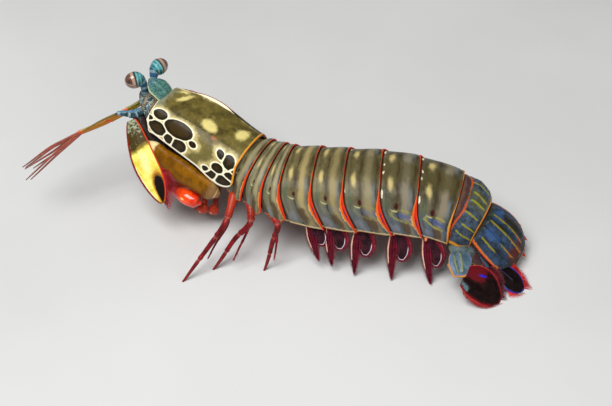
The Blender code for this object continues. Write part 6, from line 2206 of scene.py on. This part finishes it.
@dataclass(frozen=True)
class Shrimp:
    """The whole animal, part by part from head to tail."""

    stems: tuple[tuple[Point, ...], ...] = (
        ((-57.6, 39.8, 36.9), (-63.2, 36.8, 34.8), (-69.6, 33.6, 32.8), (-79.0, 29.6, 30.7)),
        ((-57.2, 43.8, 33.8), (-63.0, 41.8, 30.6), (-69.8, 39.0, 28.2), (-79.4, 34.8, 26.3)))
    whips: tuple[tuple[Point, ...], ...] = (
        ((-97.5, 18.0, 24.8), (-96.0, 14.2, 22.4), (-98.0, 21.0, 21.2)),
        ((-98.5, 23.5, 19.8), (-96.5, 20.0, 17.2), (-97.0, 26.5, 16.6)))
    roots: tuple[Point, ...] = ((2.4, 10.6, -0.6), (8.2, 11.4, -0.6), (13.8, 11.6, -0.4))
    legs: tuple[tuple[Point, ...], ...] = (
        ((-26.5, 0.8, 17.0), (-30.6, -3.4, 12.0), (-36.4, -8.4, 6.0), (-42.0, -12.6, -0.5)),
        ((-18.6, -0.6, 17.0), (-22.6, -2.4, 12.6), (-27.4, -4.6, 6.0), (-32.0, -7.0, -0.5)),
        ((-9.6, -1.6, 16.6), (-10.8, -3.4, 12.0), (-12.4, -5.4, 6.0), (-14.4, -7.4, -0.5)))
    twigs: tuple[tuple[Point, ...], ...] = (
        ((-26.2, 0.6, 15.8), (-29.6, -2.2, 10.3), (-33.4, -5.6, 4.2)),
        ((-19.4, -1.6, 15.0), (-22.0, -4.6, 10.0), (-24.6, -7.0, 5.0)),
        ((-9.8, -2.2, 15.0), (-10.0, -4.6, 10.0), (-10.8, -6.6, 5.2)))
    near: tuple[Point, ...] = (
        (50.6, -5.8, 13.2), (51.6, -18.4, 8.6), (64.6, -21.4, -0.3), (58.6, -9.4, 9.4), (73.2, -16.4, -0.3))
    far: tuple[Point, ...] = (
        (60.6, 9.4, 11.6), (66.3, 8.6, 5.2), (72.4, 8.2, -0.3), (61.6, 4.4, 9.2), (72.0, -1.2, -0.3))
    facing: tuple[Point, ...] = ((0.10, -0.45, 0.88), (0.30, -0.62, 0.72), (0.34, -0.44, 0.82))
    reach: tuple[float, ...] = (0.78, 0.86, 1.0, 1.05, 1.0)
    spot: tuple[float, ...] = (0.95, 0.62, 0.45, 0.48, 0.44)
    lean: tuple[float, ...] = (4.6, 1.8, 0.0, 0.6, 3.8)

    def limbs(self, side: Side, index: int) -> None:
        """Make the paired limbs of one side.

        Args:
            side: Which side.
            index: Its place in the tables of the feelers.
        """
        Antennule(side, self.stems[index], self.whips[index]).dress()
        Antenna(side).dress()
        Striker(side).dress()
        Maxilliped(side, 4, -9.6, 4.6, (3.4, 7.0)).dress()
        Maxilliped(side, 5, -4.6, 5.4, (1.6, 4.0)).dress()
        for k, (root, main, twig) in enumerate(zip(self.roots, self.legs, self.twigs)):
            Leg(side, k + 1, root, main, twig).dress()
        joints = Body().joints
        for k, (a, b) in enumerate(zip(joints, joints[1:])):
            Swimmeret(side, k + 1, blend(a, b, self.spot[k]), self.reach[k], self.lean[k]).dress()

    def fan(self) -> None:
        """Make the tail plate and its side limbs."""
        Telson().dress()
        _, left, up = LINE.axes(np.array(95.0))
        under = unit(up - left * 0.1)
        near, far, facing = (
            tuple(np.array(p) for p in points) for points in (self.near, self.far, self.facing))
        Uropod(Side.LEFT, *near, facing).dress()
        Uropod(Side.RIGHT, *far, (under, under, under), 0.72, 3.0).dress()

    def dress(self) -> None:
        """Make everything."""
        Carapace().dress()
        Body().dress()
        SoftBody().dress()
        Head().dress()
        Eye(Side.LEFT, (-46.1, 5.0, 13.3), (-0.55, 0.78, -0.24)).dress()
        Eye(Side.RIGHT, (-44.8, -6.9, 12.8), (0.18, -0.97, 0.08)).dress()
        for index, side in enumerate(Side):
            self.limbs(side, index)
        self.fan()


def main() -> None:
    """Build the animal and the studio."""
    logging.basicConfig(level=logging.INFO, format="%(name)s: %(message)s")
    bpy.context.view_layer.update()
    Shrimp().dress()
    Studio().build()
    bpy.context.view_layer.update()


if __name__ == "__main__":
    main()
